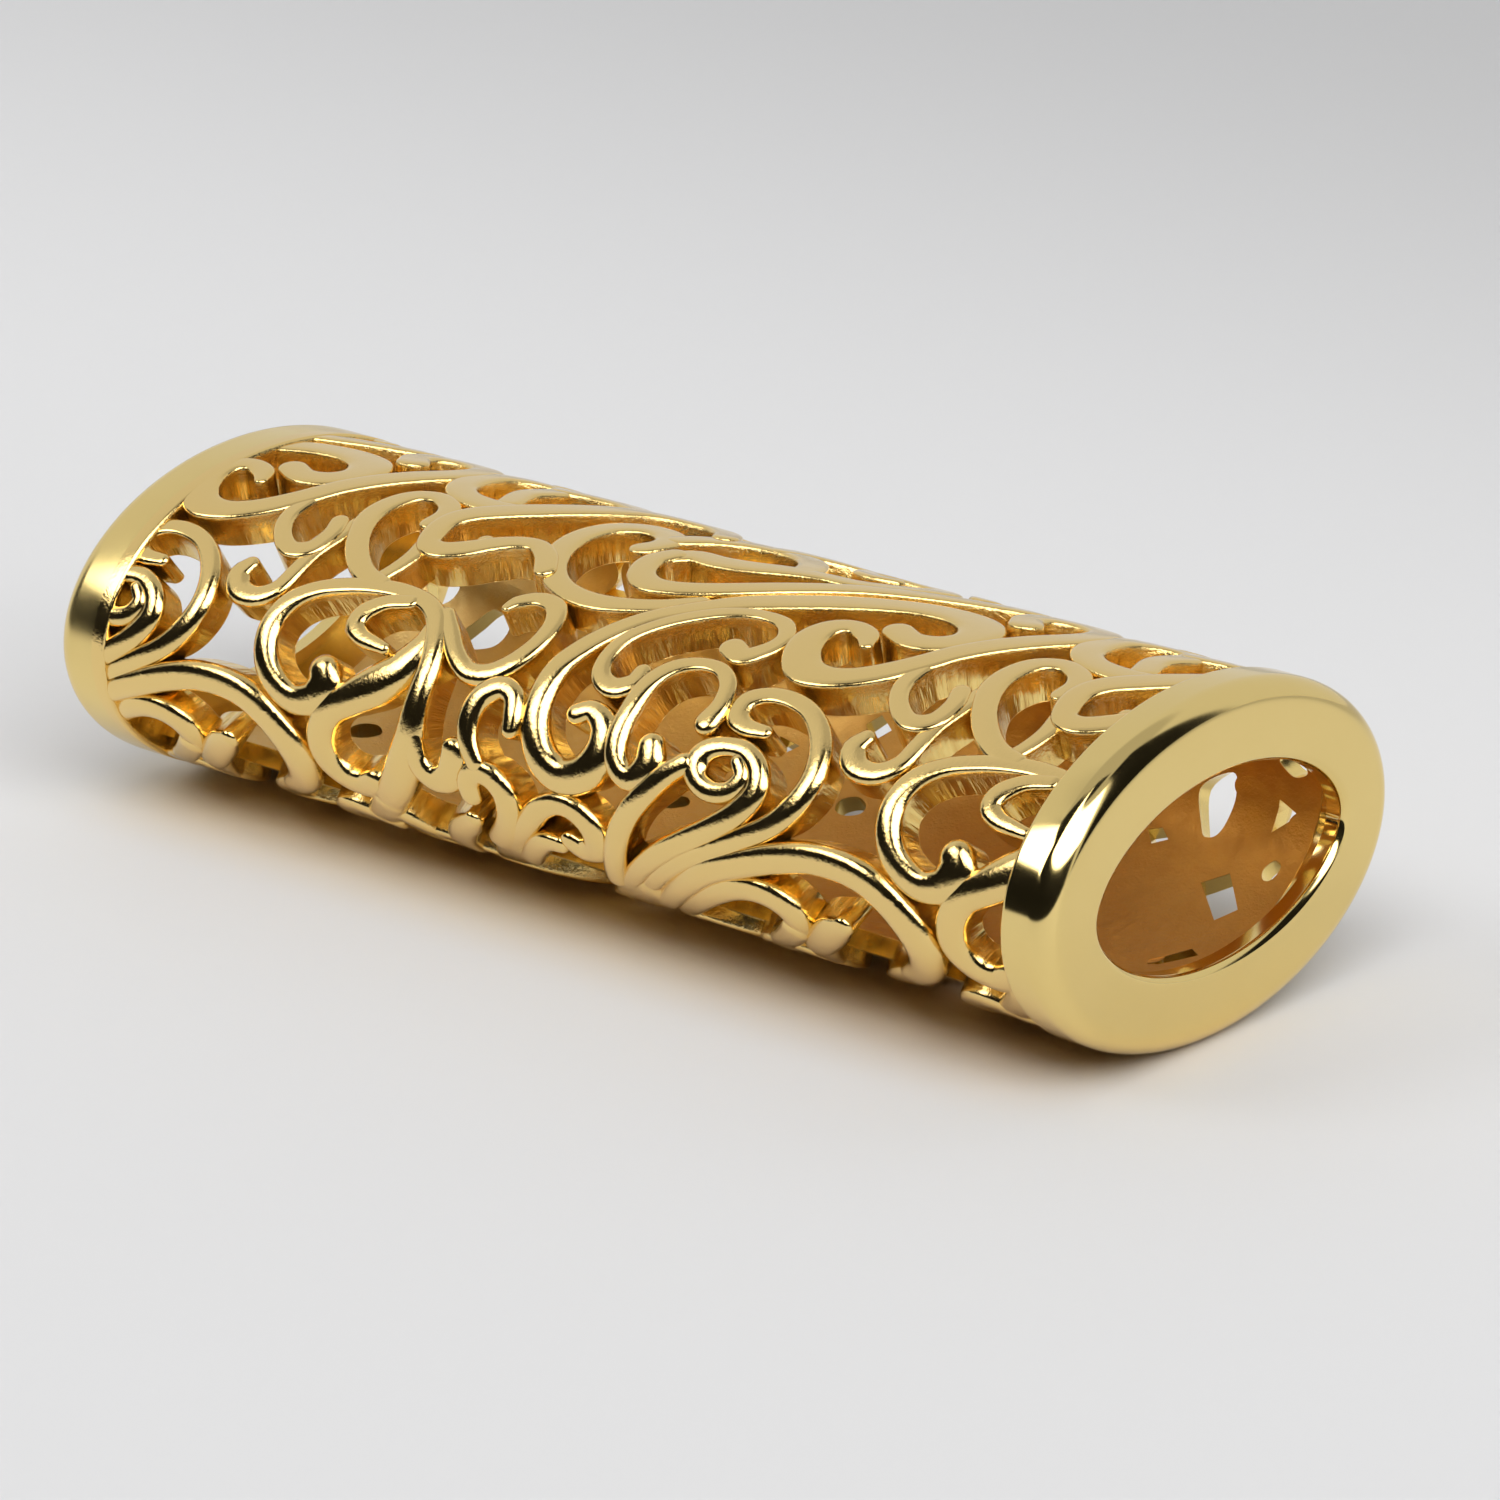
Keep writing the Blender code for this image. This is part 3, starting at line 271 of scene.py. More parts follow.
        (28.0, 18.2, 1.6), (29.8, 18.3, 1.6),
    ],
    "crown_link": [
        (5.2, 20.9, 1.6), (4.3, 22.6, 1.6), (2.8, 24.0, 1.7), (0.8, 24.4, 1.7), (-1.2, 23.6, 1.7),
        (-2.6, 22.0, 1.6), (-3.4, 20.6, 1.4),
    ],
    "far_link": [
        (28.4, 24.2, 1.5), (30.0, 25.2, 1.6), (32.0, 25.4, 1.6), (33.8, 24.6, 1.6), (34.4, 23.6, 1.5),
    ],
    "fan_trunk": [(6.6, 30.6, 3.4), (4.6, 28.6, 3.0), (2.8, 27.0, 2.4), (1.4, 25.4, 2.0), (0.9, 24.4, 1.7)],
    "small_trunk": [(-2.6, 30.9, 3.0), (-4.2, 29.0, 2.4), (-5.6, 27.2, 2.0), (-6.2, 25.6, 1.7)],
    "strap_root": [
        (-11.6, 31.8, 1.9), (-13.0, 30.0, 1.9), (-14.6, 28.5, 1.8), (-16.0, 27.0, 1.7), (-16.6, 26.0, 1.7),
    ],
    "arch_root": [
        (25.2, 31.3, 1.8), (24.0, 30.0, 1.7), (22.4, 28.8, 1.7), (21.4, 27.2, 1.7), (20.9, 25.6, 1.6),
    ],
    "inner_root": [(16.9, 31.6, 1.5), (15.8, 30.4, 1.4), (14.8, 29.4, 1.4), (14.4, 28.4, 1.4)],
    "leaf_root": [(18.2, 30.9, 1.5), (17.4, 29.4, 1.6), (16.6, 27.6, 1.6)],
    "back_scroll": [
        (-6.2, 26.4, 1.6), (-8.0, 27.8, 1.6), (-10.0, 28.3, 1.7), (-11.7, 27.5, 1.7), (-12.2, 26.0, 1.6),
        (-11.3, 24.9, 1.4),
    ],
    "back_leaf": [
        (-8.0, 28.0, 1.2), (-7.6, 29.6, 1.4), (-6.6, 31.1, 1.5), (-5.5, 32.2, 1.3), (-4.7, 33.0, 0.8),
    ],
    "back_strut": [(-10.4, 28.4, 1.3), (-11.2, 29.8, 1.4), (-12.2, 30.8, 1.6)],
    "back_curl": [
        (26.6, 26.4, 1.6), (26.8, 28.3, 1.6), (27.9, 29.7, 1.6), (29.4, 29.6, 1.5), (30.2, 28.6, 1.4),
    ],
}

# Openings in the lower shell's backing and in the upper shell's patch: corners (u, v)
LOWER_OPENINGS = {
    "crescent": [(24.4, 2.4), (26.3, 0.5), (26.7, 2.0), (26.7, 3.6), (26.5, 5.1), (26.0, 5.6), (25.4, 5.2)],
    "diamond": [(27.2, 8.8), (28.4, 7.6), (30.3, 10.0), (29.6, 11.3)],
    "triangle": [(29.45, 1.6), (30.8, 2.4), (29.5, 4.1)],
    "round": [(30.1, 6.6), (30.45, 5.9), (30.95, 6.1), (31.0, 6.9), (30.75, 7.4), (30.3, 7.3)],
    "slot": [(28.9, 16.5), (30.1, 14.2), (30.8, 14.6), (29.3, 17.2)],
    "mouth_drop": [(22.3, 6.2), (23.1, 5.8), (23.8, 6.5), (23.0, 7.1)],
    "oval": [(3.8, 10.4), (4.6, 9.8), (5.5, 10.3), (5.6, 11.1), (4.8, 11.6), (4.0, 11.3)],
    "floor_drop": [(-5.5, 14.5), (-4.6, 14.0), (-3.9, 14.7), (-4.5, 15.6), (-5.3, 15.5)],
    "high_lozenge": [(2.2, 4.5), (3.0, 3.5), (4.0, 4.4), (3.1, 5.6)],
    "middle_triangle": [(-2.7, 7.0), (-1.1, 7.3), (-2.0, 8.6)],
    "tail_floor": [(-27.2, 16.6), (-26.2, 16.0), (-25.1, 16.9), (-25.6, 18.1), (-26.9, 18.2)],
    "tail_drop": [(-31.2, 2.7), (-30.0, 1.7), (-28.7, 2.5), (-29.0, 4.0), (-30.2, 4.6)],
    "tail_lozenge": [(-27.3, 6.6), (-26.6, 5.0), (-25.6, 3.7), (-24.1, 4.6), (-24.4, 6.4), (-26.2, 7.2)],
    "low_lozenge": [(-14.6, 9.6), (-13.4, 8.6), (-12.2, 9.8), (-13.3, 11.0)],
    "low_triangle": [(11.0, 15.4), (12.8, 15.9), (11.7, 17.3)],
    "low_drop": [(17.8, 11.6), (18.9, 11.0), (19.6, 11.9), (18.9, 12.9), (18.0, 12.6)],
    "under_lozenge": [(-1.2, 21.6), (0.1, 20.4), (1.4, 21.6), (0.2, 22.9)],
    "under_drop": [(20.4, 22.0), (21.4, 21.4), (22.3, 22.3), (21.6, 23.4), (20.6, 23.1)],
    "under_triangle": [(-18.9, 21.2), (-17.2, 21.7), (-18.3, 23.0)],
}
UPPER_OPENINGS = {
    "heart": [(29.4, 34.9), (30.1, 34.2), (31.0, 34.7), (31.1, 35.5), (30.2, 36.0)],
}

# Photograph's camera: azimuth, elevation and roll in degrees; shift and distance; lens in millimetres
CAMERA_TURNS = (41.6187, 20.0651, 0.8635)
CAMERA_PLACE = (-2.59 * MM, -1.673 * MM, 368.01 * MM)
CAMERA_LENS = 166.75
SENSOR_WIDTH = 36.0

# Ranges of the scrolls' finish and of the bore's painted light, by depth in millimetres, by place or by
# noise, and the values at their ends
TOP_TO_WALL = (0.35, 1.1)
ABOVE_BORE = (0.03, 0.005)
# Painted light: along X the bore turns from brown at the mouth to paler gold at the tail, where light falls
# in
PAINTED_BORE_LIGHT = (-4.0 * MM, 14.0 * MM)
DOME_TO_FLAT = (4.0 * MM, 7.6 * MM)
TARNISH = (0.4, 0.7, 0.0, 0.7)
UNEVEN = (0.3, 0.7, 0.75, 1.25)
RIDGES = (0.25, 0.75, 0.0, 0.8)
FLAT_BUMP = (0.03, 0.2, 0.08, 1.0)
DOME_BUMP = (0.3, 0.9, 0.3, 0.8)
STREAK_STRETCH = (1.7, 0.3, 1.0)
STREAK_NOISE = {"Scale": 1.0, "Detail": 3.0}
DULL_SHARES = (0.78, 0.64, 0.5)
SCROLL_GRAIN = (4800.0, 700.0)
SCROLL_BUMP_DEPTH = 0.05 * MM

# Detail and roughness of the noises of grain and mottle
NOISE_DETAIL = {"Grain": 4.0, "Mottle": 3.0}
NOISE_ROUGHNESS = 0.6

# Collars' finish: shares of the mottled colour, scales of grain and mottle, uneven roughness, and bump
MOTTLE_SHARES = (0.97, 0.95, 0.9)
COLLAR_GRAIN = (4000.0, 260.0)
COLLAR_MOTTLE = (0.3, 0.7)
COLLAR_UNEVEN = (0.8, 1.3)
COLLAR_BUMP = 0.06
COLLAR_BUMP_DEPTH = 0.01 * MM

# Floor: its reach and polish, the shade painted on it far behind the object and in the room before it,
# the warm bounce light from the gold painted on it under the front of the sleeve; size and place of the
# light overhead
FLOOR_REACH = 3.0
FLOOR_ROUGHNESS = 0.6
FLOOR_SHINE = 0.2
FLOOR_MOTTLE = 6.0
MOTTLED = (0.98, 0.98, 0.98)
# Painted shade: the floor is painted darker far behind the object, for the light falling off there
FAR_FLOOR = (0.03, 0.2)
FAR_PAINTED_SHADE = (0.66, 0.66, 0.66)
# Painted shade: the floor is painted dark in the unlit room before the set
ROOM_FLOOR = (-0.6, -0.25, 1.0, 0.0)
ROOM_PAINTED_SHADE = (0.25, 0.25, 0.25, 1.0)
# Painted bounce light: a warm patch painted on the floor under the front of the sleeve, for the light that
# the gold throws back
PAINTED_BOUNCE_PATCH = {"Middle up": -4.0 * MM, "Half width": 27.0 * MM, "Half height": 0.5 * MM, "Softness": 12.0 * MM}
PAINTED_BOUNCE_TO_MOUTH = (-10.0 * MM, 34.0 * MM)
OVERHEAD_SIZE = (0.7, 0.5)
OVERHEAD_PLACE = (0.1, -0.15, 0.6)

# Areas of the pale tent round the set: name, middle azimuth and elevation, half width and height and
# softness in degrees, rise of elevation per azimuth, and the setting for brightness; later ones lie on top
PATCHES = (
    ("ceiling", 0.0, 90.0, 181.0, 30.0, 8.0, 0.0, "ceiling"),
    ("room in front", 8.0, 14.0, 84.0, 13.0, 6.0, 0.0, "dark"),
    ("behind the camera", 15.0, 38.0, 42.0, 16.0, 5.0, -0.3, "dark"),
    ("above the left softbox", -36.0, 62.0, 24.0, 12.0, 6.0, 0.0, "dark"),
    ("front ceiling", 35.0, 86.0, 75.0, 9.0, 4.0, 0.0, "dark"),
    ("right column", 121.0, 30.0, 15.0, 36.0, 4.0, 0.0, "dark"),
    ("right softbox", 46.0, 52.0, 51.0, 18.0, 3.0, -0.32, "softbox"),
    ("left softbox", -44.0, 41.0, 15.0, 9.0, 3.0, 0.0, "softbox"),
)
PATCH_SIZES = ("Middle across", "Middle up", "Half width", "Half height", "Softness")

# Arc length round the shell's outer ellipse against the ellipse's own parameter
ANGLES = np.linspace(0.0, 2 * math.pi, ELLIPSE_POINTS)
SPEEDS = np.hypot(HALF_ACROSS * np.sin(ANGLES), HALF_HEIGHT * np.cos(ANGLES))
ARCS = np.concatenate([[0.0], np.cumsum((SPEEDS[1:] + SPEEDS[:-1]) / 2 * np.diff(ANGLES))])
FULL_TURN = ARCS[-1]
ROLL_SCALE = FULL_TURN / (2 * PATTERN_HALF_TURN * MM)


def length_setting(name, description, default, low, high, precision=5):
    """Setting for a length, from values in millimetres."""
    return FloatProperty(name=name, description=description, default=default * MM, min=low * MM,
                         max=high * MM, unit="LENGTH", precision=precision)


def plain_setting(name, description, default, low, high, subtype="NONE"):
    """Setting for a number that is no length, such as an exponent or a brightness."""
    return FloatProperty(name=name, description=description, default=default, min=low, max=high,
                         subtype=subtype)


def factor_setting(name, description, default, low=0.0, high=1.0):
    """Setting for a share or a roughness."""
    return plain_setting(name, description, default, low, high, "FACTOR")


def colour_setting(name, description, red, green, blue):
    """Setting for an opaque colour."""
    return FloatVectorProperty(name=name, description=description, size=4, subtype="COLOR",
                               default=(red, green, blue, 1.0), min=0.0, max=1.0)


class ScrollSettings(bpy.types.PropertyGroup):
    """Sizes of the scrollwork."""

    wall: length_setting("Wall", "Depth of the hole walls down to the bore", 2.0, 1.0, 6.0)
    extra: length_setting("Extra width", "Width added to every scroll", 0.12, -0.5, 1.0)
    edge: length_setting("Edge", "Rounding of the scrolls' edges on the broad sides", 0.2, 0.02, 0.5)
    edge_drop: length_setting("Edge drop", "Depth of that rounding", 0.33, 0.02, 0.6)
    roundness: factor_setting(
        "Roundness", "Crown of the scrolls near the narrow edges, as a share of half their width",
        0.72, 0.1, 1.2)
    dome: plain_setting("Dome", "Exponent of the domed crowns near the narrow edges", 2.4, 1.5, 12.0)
    squareness: plain_setting("Squareness", "Exponent of the flat crowns on the broad sides", 3.8, 1.5, 30.0)
    draft: plain_setting("Draft", "Widening of each scroll per unit of depth", 0.03, 0.0, 0.3)
    layer: length_setting("Layer", "Height step between scrolls that cross", 0.05, 0.0, 0.2, 6)
    backing: length_setting("Backing", "Depth of the backing's face behind the lower scrolls", 1.0, 0.2, 5.0)
    spacing: length_setting("Spacing", "Length of one facet along a scroll", 0.26, 0.05, 1.0)
    swell: length_setting("Swell", "Width added to the scrolls near the narrow edges", 0.24, 0.0, 1.0)
    tail_rim: length_setting("Tail rim", "Plain rim beside the tail's collar", 0.9, 0.2, 3.0)
    rim: length_setting("Rim", "Plain rim beside the mouth's collar", 0.4, 0.2, 3.0)
    rim_drop: length_setting("Rim drop", "Depth of that rim below the scrolls", 0.7, 0.0, 1.8)


class CollarSettings(bpy.types.PropertyGroup):
    """Sizes of the end collars."""

    length: length_setting("Length", "Length of a collar along the sleeve", 3.0, 1.0, 10.0)
    wall: length_setting("Wall", "Width of the flat end ring with its roundings", 4.24, 1.0, 6.0)
    lip: length_setting("Lip", "Thickness of the end ring along the sleeve", 1.2, 0.5, 10.0)
    rounding: length_setting("Rounding", "Radius of the outer rounding", 1.3, 0.1, 3.0)
    bore_rounding: length_setting("Bore rounding", "Radius of the rounding at the mouth", 0.45, 0.05, 1.0)
    back_rounding: length_setting("Back rounding", "Radius beside the scrollwork", 0.3, 0.05, 1.0)
    parting: length_setting("Parting line", "Height of that line on the narrow edges", 0.006, 0.0, 0.2, 6)


class GoldSettings(bpy.types.PropertyGroup):
    """Colours and polish of the gold, with the painted light in the hole walls and the bore."""

    colour: colour_setting("Gold", "Colour of the polished gold", 0.87, 0.67, 0.27)
    scroll_colour: colour_setting("Scrolls", "Colour of the scrolls' tops", 0.87, 0.63, 0.245)
    # Partly painted light: the hole walls' gold, brighter than the tops', also stands for the light that the
    # walls throw to each other
    wall_gold_and_bounce: colour_setting("Hole walls", "Colour of the gold in the holes", 0.98, 0.74, 0.27)
    bore_colour: colour_setting("Bore", "Colour of the matte bore", 0.7, 0.39, 0.1)
    # Painted light: the bore's paler colour towards the tail, where light falls in
    lit_tail_bore: colour_setting("Bore at the tail", "Colour of the bore away from the mouth", 0.88, 0.62, 0.23)
    dome_roughness: factor_setting("Dome roughness", "Roughness of the scrolls near the narrow edges", 0.1)
    top_roughness: factor_setting("Scroll roughness", "Roughness of the scrolls on the broad sides", 0.16)
    wall_roughness: factor_setting("Wall roughness", "Roughness of the hole walls", 0.22)
    bore_roughness: factor_setting("Bore roughness", "Roughness of the bore", 0.45)
    collar_roughness: factor_setting("Collar roughness", "Roughness of the mouth's collar", 0.09)
    tail_roughness: factor_setting("Tail roughness", "Roughness of the tail's collar", 0.2)


class StageSettings(bpy.types.PropertyGroup):
    """Floor, light and camera."""

    floor_colour: colour_setting("Floor", "Colour of the floor", 0.615, 0.615, 0.62)
    # Painted bounce light: the warm colours painted on the floor under the front of the sleeve and by the
    # mouth
    painted_bounce_colour: colour_setting("Glow", "Colour of the floor in front of the sleeve", 0.82, 0.685, 0.475)
    painted_bounce_at_mouth: colour_setting("Mouth glow", "Colour of the floor close to the mouth", 0.64, 0.51, 0.36)
    backdrop: plain_setting("Backdrop", "Brightness of the pale tent", 0.7, 0.0, 5.0)
    ceiling: plain_setting("Ceiling", "Brightness of the tent's top", 0.5, 0.0, 5.0)
    dark: plain_setting("Dark", "Brightness of the room before the tent", 0.012, 0.0, 1.0)
    softbox: plain_setting("Softbox", "Brightness of the softboxes", 4.5, 0.0, 50.0)
    overhead: plain_setting("Overhead", "Power of the overhead light", 0.3, 0.0, 100.0, "POWER")


def on_section(x, angle, depth):
    """Points on the section: the outer ellipse at this angle, less the depth along the ellipse's normal."""
    x, angle, depth = np.broadcast_arrays(x, angle, depth)
    normal_y = -np.cos(angle) / HALF_ACROSS
    normal_z = np.sin(angle) / HALF_HEIGHT
    size = np.hypot(normal_y, normal_z)
    y = -HALF_ACROSS * np.cos(angle) - depth * normal_y / size
    z = HALF_HEIGHT * np.sin(angle) - depth * normal_z / size
    return np.stack([x, y, z], axis=-1)


def on_shell(u, v, depth):
    """Points of the unrolled pattern rolled up: v becomes an angle by its arc length round the ellipse."""
    return on_section(u, np.interp(np.mod(v * ROLL_SCALE, FULL_TURN), ARCS, ANGLES), depth)


def smooth_step(low, high, value):
    """Zero up to low, one from high on, and a smooth cubic between."""
    share = np.clip((value - low) / (high - low), 0.0, 1.0)
    return share * share * (3.0 - 2.0 * share)


def smooth_curve(before, start, stop, after, steps):
    """Catmull-Rom curves from each start to its stop, cut at even steps of their parameter.

    They are cubics whose slope at a point is half the step between that point's neighbours.
    """
    s = np.linspace(0.0, 1.0, steps, endpoint=False)[:, None, None]
    bend = 2 * before - 5 * start + 4 * stop - after
    twist = 3 * start - before - 3 * stop + after
    curve = start + (stop - before) / 2 * s + bend / 2 * s**2 + twist / 2 * s**3
    return curve.transpose(1, 0, 2).reshape(-1, start.shape[1])


def smooth_path(points, spacing):
    """Smooth curve through (u, v, width) points, cut into equal lengths."""
    given = np.array(points, float) * MM
    ends = np.vstack([2 * given[0] - given[1], given, 2 * given[-1] - given[-2]])
    dense = np.vstack([smooth_curve(ends[:-3], ends[1:-2], ends[2:-1], ends[3:], CURVE_STEPS), given[-1:]])
    run = np.concatenate([[0.0], np.cumsum(np.linalg.norm(np.diff(dense[:, :2], axis=0), axis=1))])
    even = np.linspace(0.0, run[-1], max(FEWEST_STEPS, int(math.ceil(run[-1] / spacing))) + 1)
    return np.stack([np.interp(even, run, column) for column in dense.T], axis=1), even


def stroke_profile(half, v, layer, scrolls):
    """Offsets across the stroke and depths: foot, crown and foot, for each point of its path.

    The crown is half a superellipse. Near the narrow edges it is deep with a low exponent, so the scroll is
    domed there. On the broad sides it is shallow with a high exponent, so its top is flat with tight edges.
    """
    half_turn = FULL_TURN / 2
    from_edge = np.abs(np.mod(v + half_turn / 2, half_turn) - half_turn / 2)
    rounded = 1.0 - smooth_step(ROUND_TO_V * MM, FLAT_FROM_V * MM, from_edge)
    half = half + scrolls.swell / 2 * rounded
    drop = scrolls.edge_drop + (scrolls.roundness * half - scrolls.edge_drop) * rounded
    power = 2.0 / (scrolls.squareness + (scrolls.dome - scrolls.squareness) * rounded)
    phi = np.linspace(0.0, math.pi / 2, ARC_POINTS)[None, :]
    arc = half * np.sin(phi) ** power
    arc_depth = layer + drop * (1.0 - np.cos(phi) ** power)
    wall = np.full_like(half, scrolls.wall) + layer * LAYER_AT_BORE
    foot = half + scrolls.draft * (wall - layer - drop)
    across = np.hstack([-foot, -arc[:, ::-1], arc[:, 1:], foot])
    depth = np.hstack([wall, arc_depth[:, ::-1], arc_depth[:, 1:], wall])
    return across, depth


def stroke_surface(path, run, layer, scrolls):
    """One scroll: the profile carried along its path, and turned about each end point to round it off.

    The depths that it hands on for the finish start from the scroll's own crown and end at the bore.
    """
    turn = np.linspace(0.0, math.pi / 2, CAP_POINTS)[1:]
    theta = np.concatenate([-turn[::-1], np.zeros(len(path)), turn])[:, None]
    place = np.pad(np.arange(len(path)), len(turn), mode="edge")
    along = np.gradient(path[:, :2], axis=0)
    along = (along / np.linalg.norm(along, axis=1)[:, None])[place]
    base = path[place, :2]
    across, depth = stroke_profile((path[place, 2:] + scrolls.extra) / 2, base[:, 1:], layer, scrolls)
    ahead = np.abs(across) * np.sin(theta)
    aside = across * np.cos(theta)
    u = base[:, :1] + along[:, :1] * ahead - along[:, 1:] * aside
    v = base[:, 1:] + along[:, 1:] * ahead + along[:, :1] * aside
    length = run[place][:, None] + np.abs(across) * theta
    below_crown = depth - layer * (1.0 - depth / scrolls.wall)
    return on_shell(u, v, depth), below_crown, length


def grid_faces(rows, columns, start=0, closed=False):
    """Quads of a grid whose columns close into a ring, and whose rows do so where it is closed."""
    here = start + np.arange(rows)[:, None] * columns + np.arange(columns)[None, :]
    ahead = np.roll(here, -1, axis=0)
    quads = np.stack([here, np.roll(here, -1, axis=1), np.roll(ahead, -1, axis=1), ahead], axis=-1)
    return (quads if closed else quads[:-1]).reshape(-1, 4)


def rim_surface(side, scrolls, collars):
    """Plain rim beside a collar: a small profile with rounded edges, carried right round the section.

    It lies below the scrolls at the mouth, and it is wider and level with them at the tail.
    """
    width, top = (scrolls.rim, scrolls.rim_drop) if side > 0 else (scrolls.tail_rim, 0.0)
    outer = side * (HALF_LENGTH - collars.length + RIM_TUCK)
    inner = outer - side * (width + RIM_TUCK)
    phi = np.linspace(0.0, math.pi / 2, ARC_POINTS)
    x = np.concatenate([[inner], inner + side * scrolls.edge * (1 - np.cos(phi)), [outer, outer]])
    crown = top + scrolls.edge_drop * (1 - np.sin(phi))
    depth = np.concatenate([[scrolls.wall], crown, [top, scrolls.wall]])
    angle = np.linspace(0.0, 2 * math.pi, RIM_POINTS)[:, None]
    points = on_section(x[None, :], angle, depth[None, :])
    shape = points.shape[:2]
    return points, np.broadcast_to(depth, shape), np.broadcast_to(angle * HALF_ACROSS, shape)


def opening_loop(corners):
    """Outline of an opening: straight between a few corners, or a closed smooth curve through more."""
    given = np.array(corners)
    if len(given) < CURVED_FROM:
        return given
    before, after, beyond = (np.roll(given, step, axis=0) for step in (1, -1, -2))
    return smooth_curve(before, given, after, beyond, OPENING_STEPS)


def inside_loop(points, loop):
    """Which points lie inside a closed outline: they cross it an odd number of times on the way to +u."""
    here = loop[None, :, :]
    ahead = np.roll(loop, -1, axis=0)[None, :, :]
    level = points[:, None, 1]
    rise = np.where(ahead[..., 1] == here[..., 1], 1.0, ahead[..., 1] - here[..., 1])
    crossing = here[..., 0] + (level - here[..., 1]) * (ahead[..., 0] - here[..., 0]) / rise
    crosses = (here[..., 1] > level) != (ahead[..., 1] > level)
    return np.sum(crosses & (points[:, None, 0] < crossing), axis=1) % 2 == 1


def clear_runs(path, openings):
    """Stretches of a path, as index arrays, that keep their own half width clear of every opening."""
    clear = np.ones(len(path), bool)
    for corners in openings.values():
        loop = opening_loop(corners) * MM
        spokes = loop - loop.mean(axis=0)
        growth = 1.0 + (path[:, 2].mean() / 2 + OPENING_MARGIN * MM) / np.linalg.norm(spokes, axis=1).mean()
        clear &= ~inside_loop(path[:, :2], loop.mean(axis=0) + growth * spokes)
    runs = np.split(np.arange(len(path)), np.flatnonzero(np.diff(clear)) + 1)
    return [run for run in runs if clear[run[0]] and len(run) > FEWEST_STEPS]


def backing_surface(scrolls, corner, opposite, openings):
    """Backing behind the scrolls: a plate between two opposite corners and two depths, with openings.

    The flat plate is triangulated in (u, v) with fold lines at even steps of v. Its two faces are then
    rolled up and joined by walls along every edge that only one triangle has.
    """
    loops = [opening_loop(corners) for corners in openings.values()]
    steps = max(FEWEST_STEPS, int((opposite[1] - corner[1]) / FOLD_STEP))
    levels = np.linspace(corner[1], opposite[1], steps)
    ends = (corner[0], opposite[0])
    folds = np.stack([np.stack([np.full_like(levels, end), levels], axis=1) for end in ends], axis=1)
    sides = [np.array([(end, levels[0]), (end, levels[-1])]) for end in ends]
    rows = [folds.reshape(-1, 2)] + sides + loops
    starts = np.cumsum([0] + [len(row) for row in rows])
    edges = [np.arange(starts[1]).reshape(-1, 2)] + [starts[k] + np.array([[0, 1]]) for k in (1, 2)]
    rounds = [np.arange(start, stop) for start, stop in zip(starts[3:], starts[4:])]
    edges += [np.stack([ring, np.roll(ring, -1)], axis=1) for ring in rounds]
    made = delaunay_2d_cdt(np.vstack(rows).tolist(), np.vstack(edges).tolist(), [], 0, PLATE_WELD)
    flat = np.array(made[0])
    triangles = np.array(made[2])
    middles = flat[triangles].mean(axis=1)
    pierced = np.any([inside_loop(middles, loop) for loop in loops], axis=0)
    triangles = triangles[~pierced]
    count = len(flat)
    pairs = np.concatenate([triangles[:, [0, 1]], triangles[:, [1, 2]], triangles[:, [2, 0]]])
    rim = pairs[~np.isin(pairs[:, 0] * count + pairs[:, 1], pairs[:, 1] * count + pairs[:, 0])]
    walls = np.stack([rim[:, 1], rim[:, 0], rim[:, 0] + count, rim[:, 1] + count], axis=1)
    depth = np.repeat([scrolls.backing, scrolls.wall * BORE_COVER], count)
    both = np.vstack([flat, flat]) * MM
    points = on_shell(both[:, 0], both[:, 1], depth)
    return points, np.vstack([triangles, triangles[:, ::-1] + count]), walls, depth, np.zeros(2 * count)


def shell_arrays(scrolls, collars, corner, opposite, openings):
    """Scrolls, rims and backing of a half drawn as the upper one: points, faces, depths and lengths.

    The scrolls stop short of the backing's openings.
    """
    surfaces = []
    half_turn = PATTERN_HALF_TURN * MM
    for number, points in enumerate(STROKES.values()):
        layer = scrolls.layer * (number * LAYER_ORDER % LAYERS)
        reach = np.array(points) * MM
        path, run = smooth_path(points, scrolls.spacing)
        for copy in (-1, 0, 1):
            for turn in (-1, 0, 1):
                shift = np.array([copy * PATTERN_REPEAT * MM, turn * half_turn])
                low = reach[:, :2].min(axis=0) + shift - STROKE_REACH * MM
                high = reach[:, :2].max(axis=0) + shift + STROKE_REACH * MM
                if low[0] < HALF_LENGTH and high[0] > -HALF_LENGTH and low[1] < half_turn and high[1] > 0:
                    moved = path + np.append(shift, 0.0)
                    stretches = clear_runs(moved, openings)
                    surfaces += [stroke_surface(moved[k], run[k], layer, scrolls) for k in stretches]
    surfaces += [rim_surface(side, scrolls, collars) for side in (-1, 1)]
    grids = [surface[0].shape[:2] for surface in surfaces]
    starts = np.cumsum([0] + [rows * columns for rows, columns in grids])
    faces = [grid_faces(*grid, start) for grid, start in zip(grids, starts)]
    plate, triangles, plate_walls, *plate_values = backing_surface(scrolls, corner, opposite, openings)
    quads = np.concatenate(faces + [plate_walls + starts[-1]])
    surfaces.append((plate, *plate_values))
    points = np.concatenate([surface[0].reshape(-1, 3) for surface in surfaces])
    depths = np.concatenate([surface[1].reshape(-1) for surface in surfaces])
    lengths = np.concatenate([surface[2].reshape(-1) for surface in surfaces])
    return points, quads.tolist() + (triangles + starts[-1]).tolist(), depths, lengths


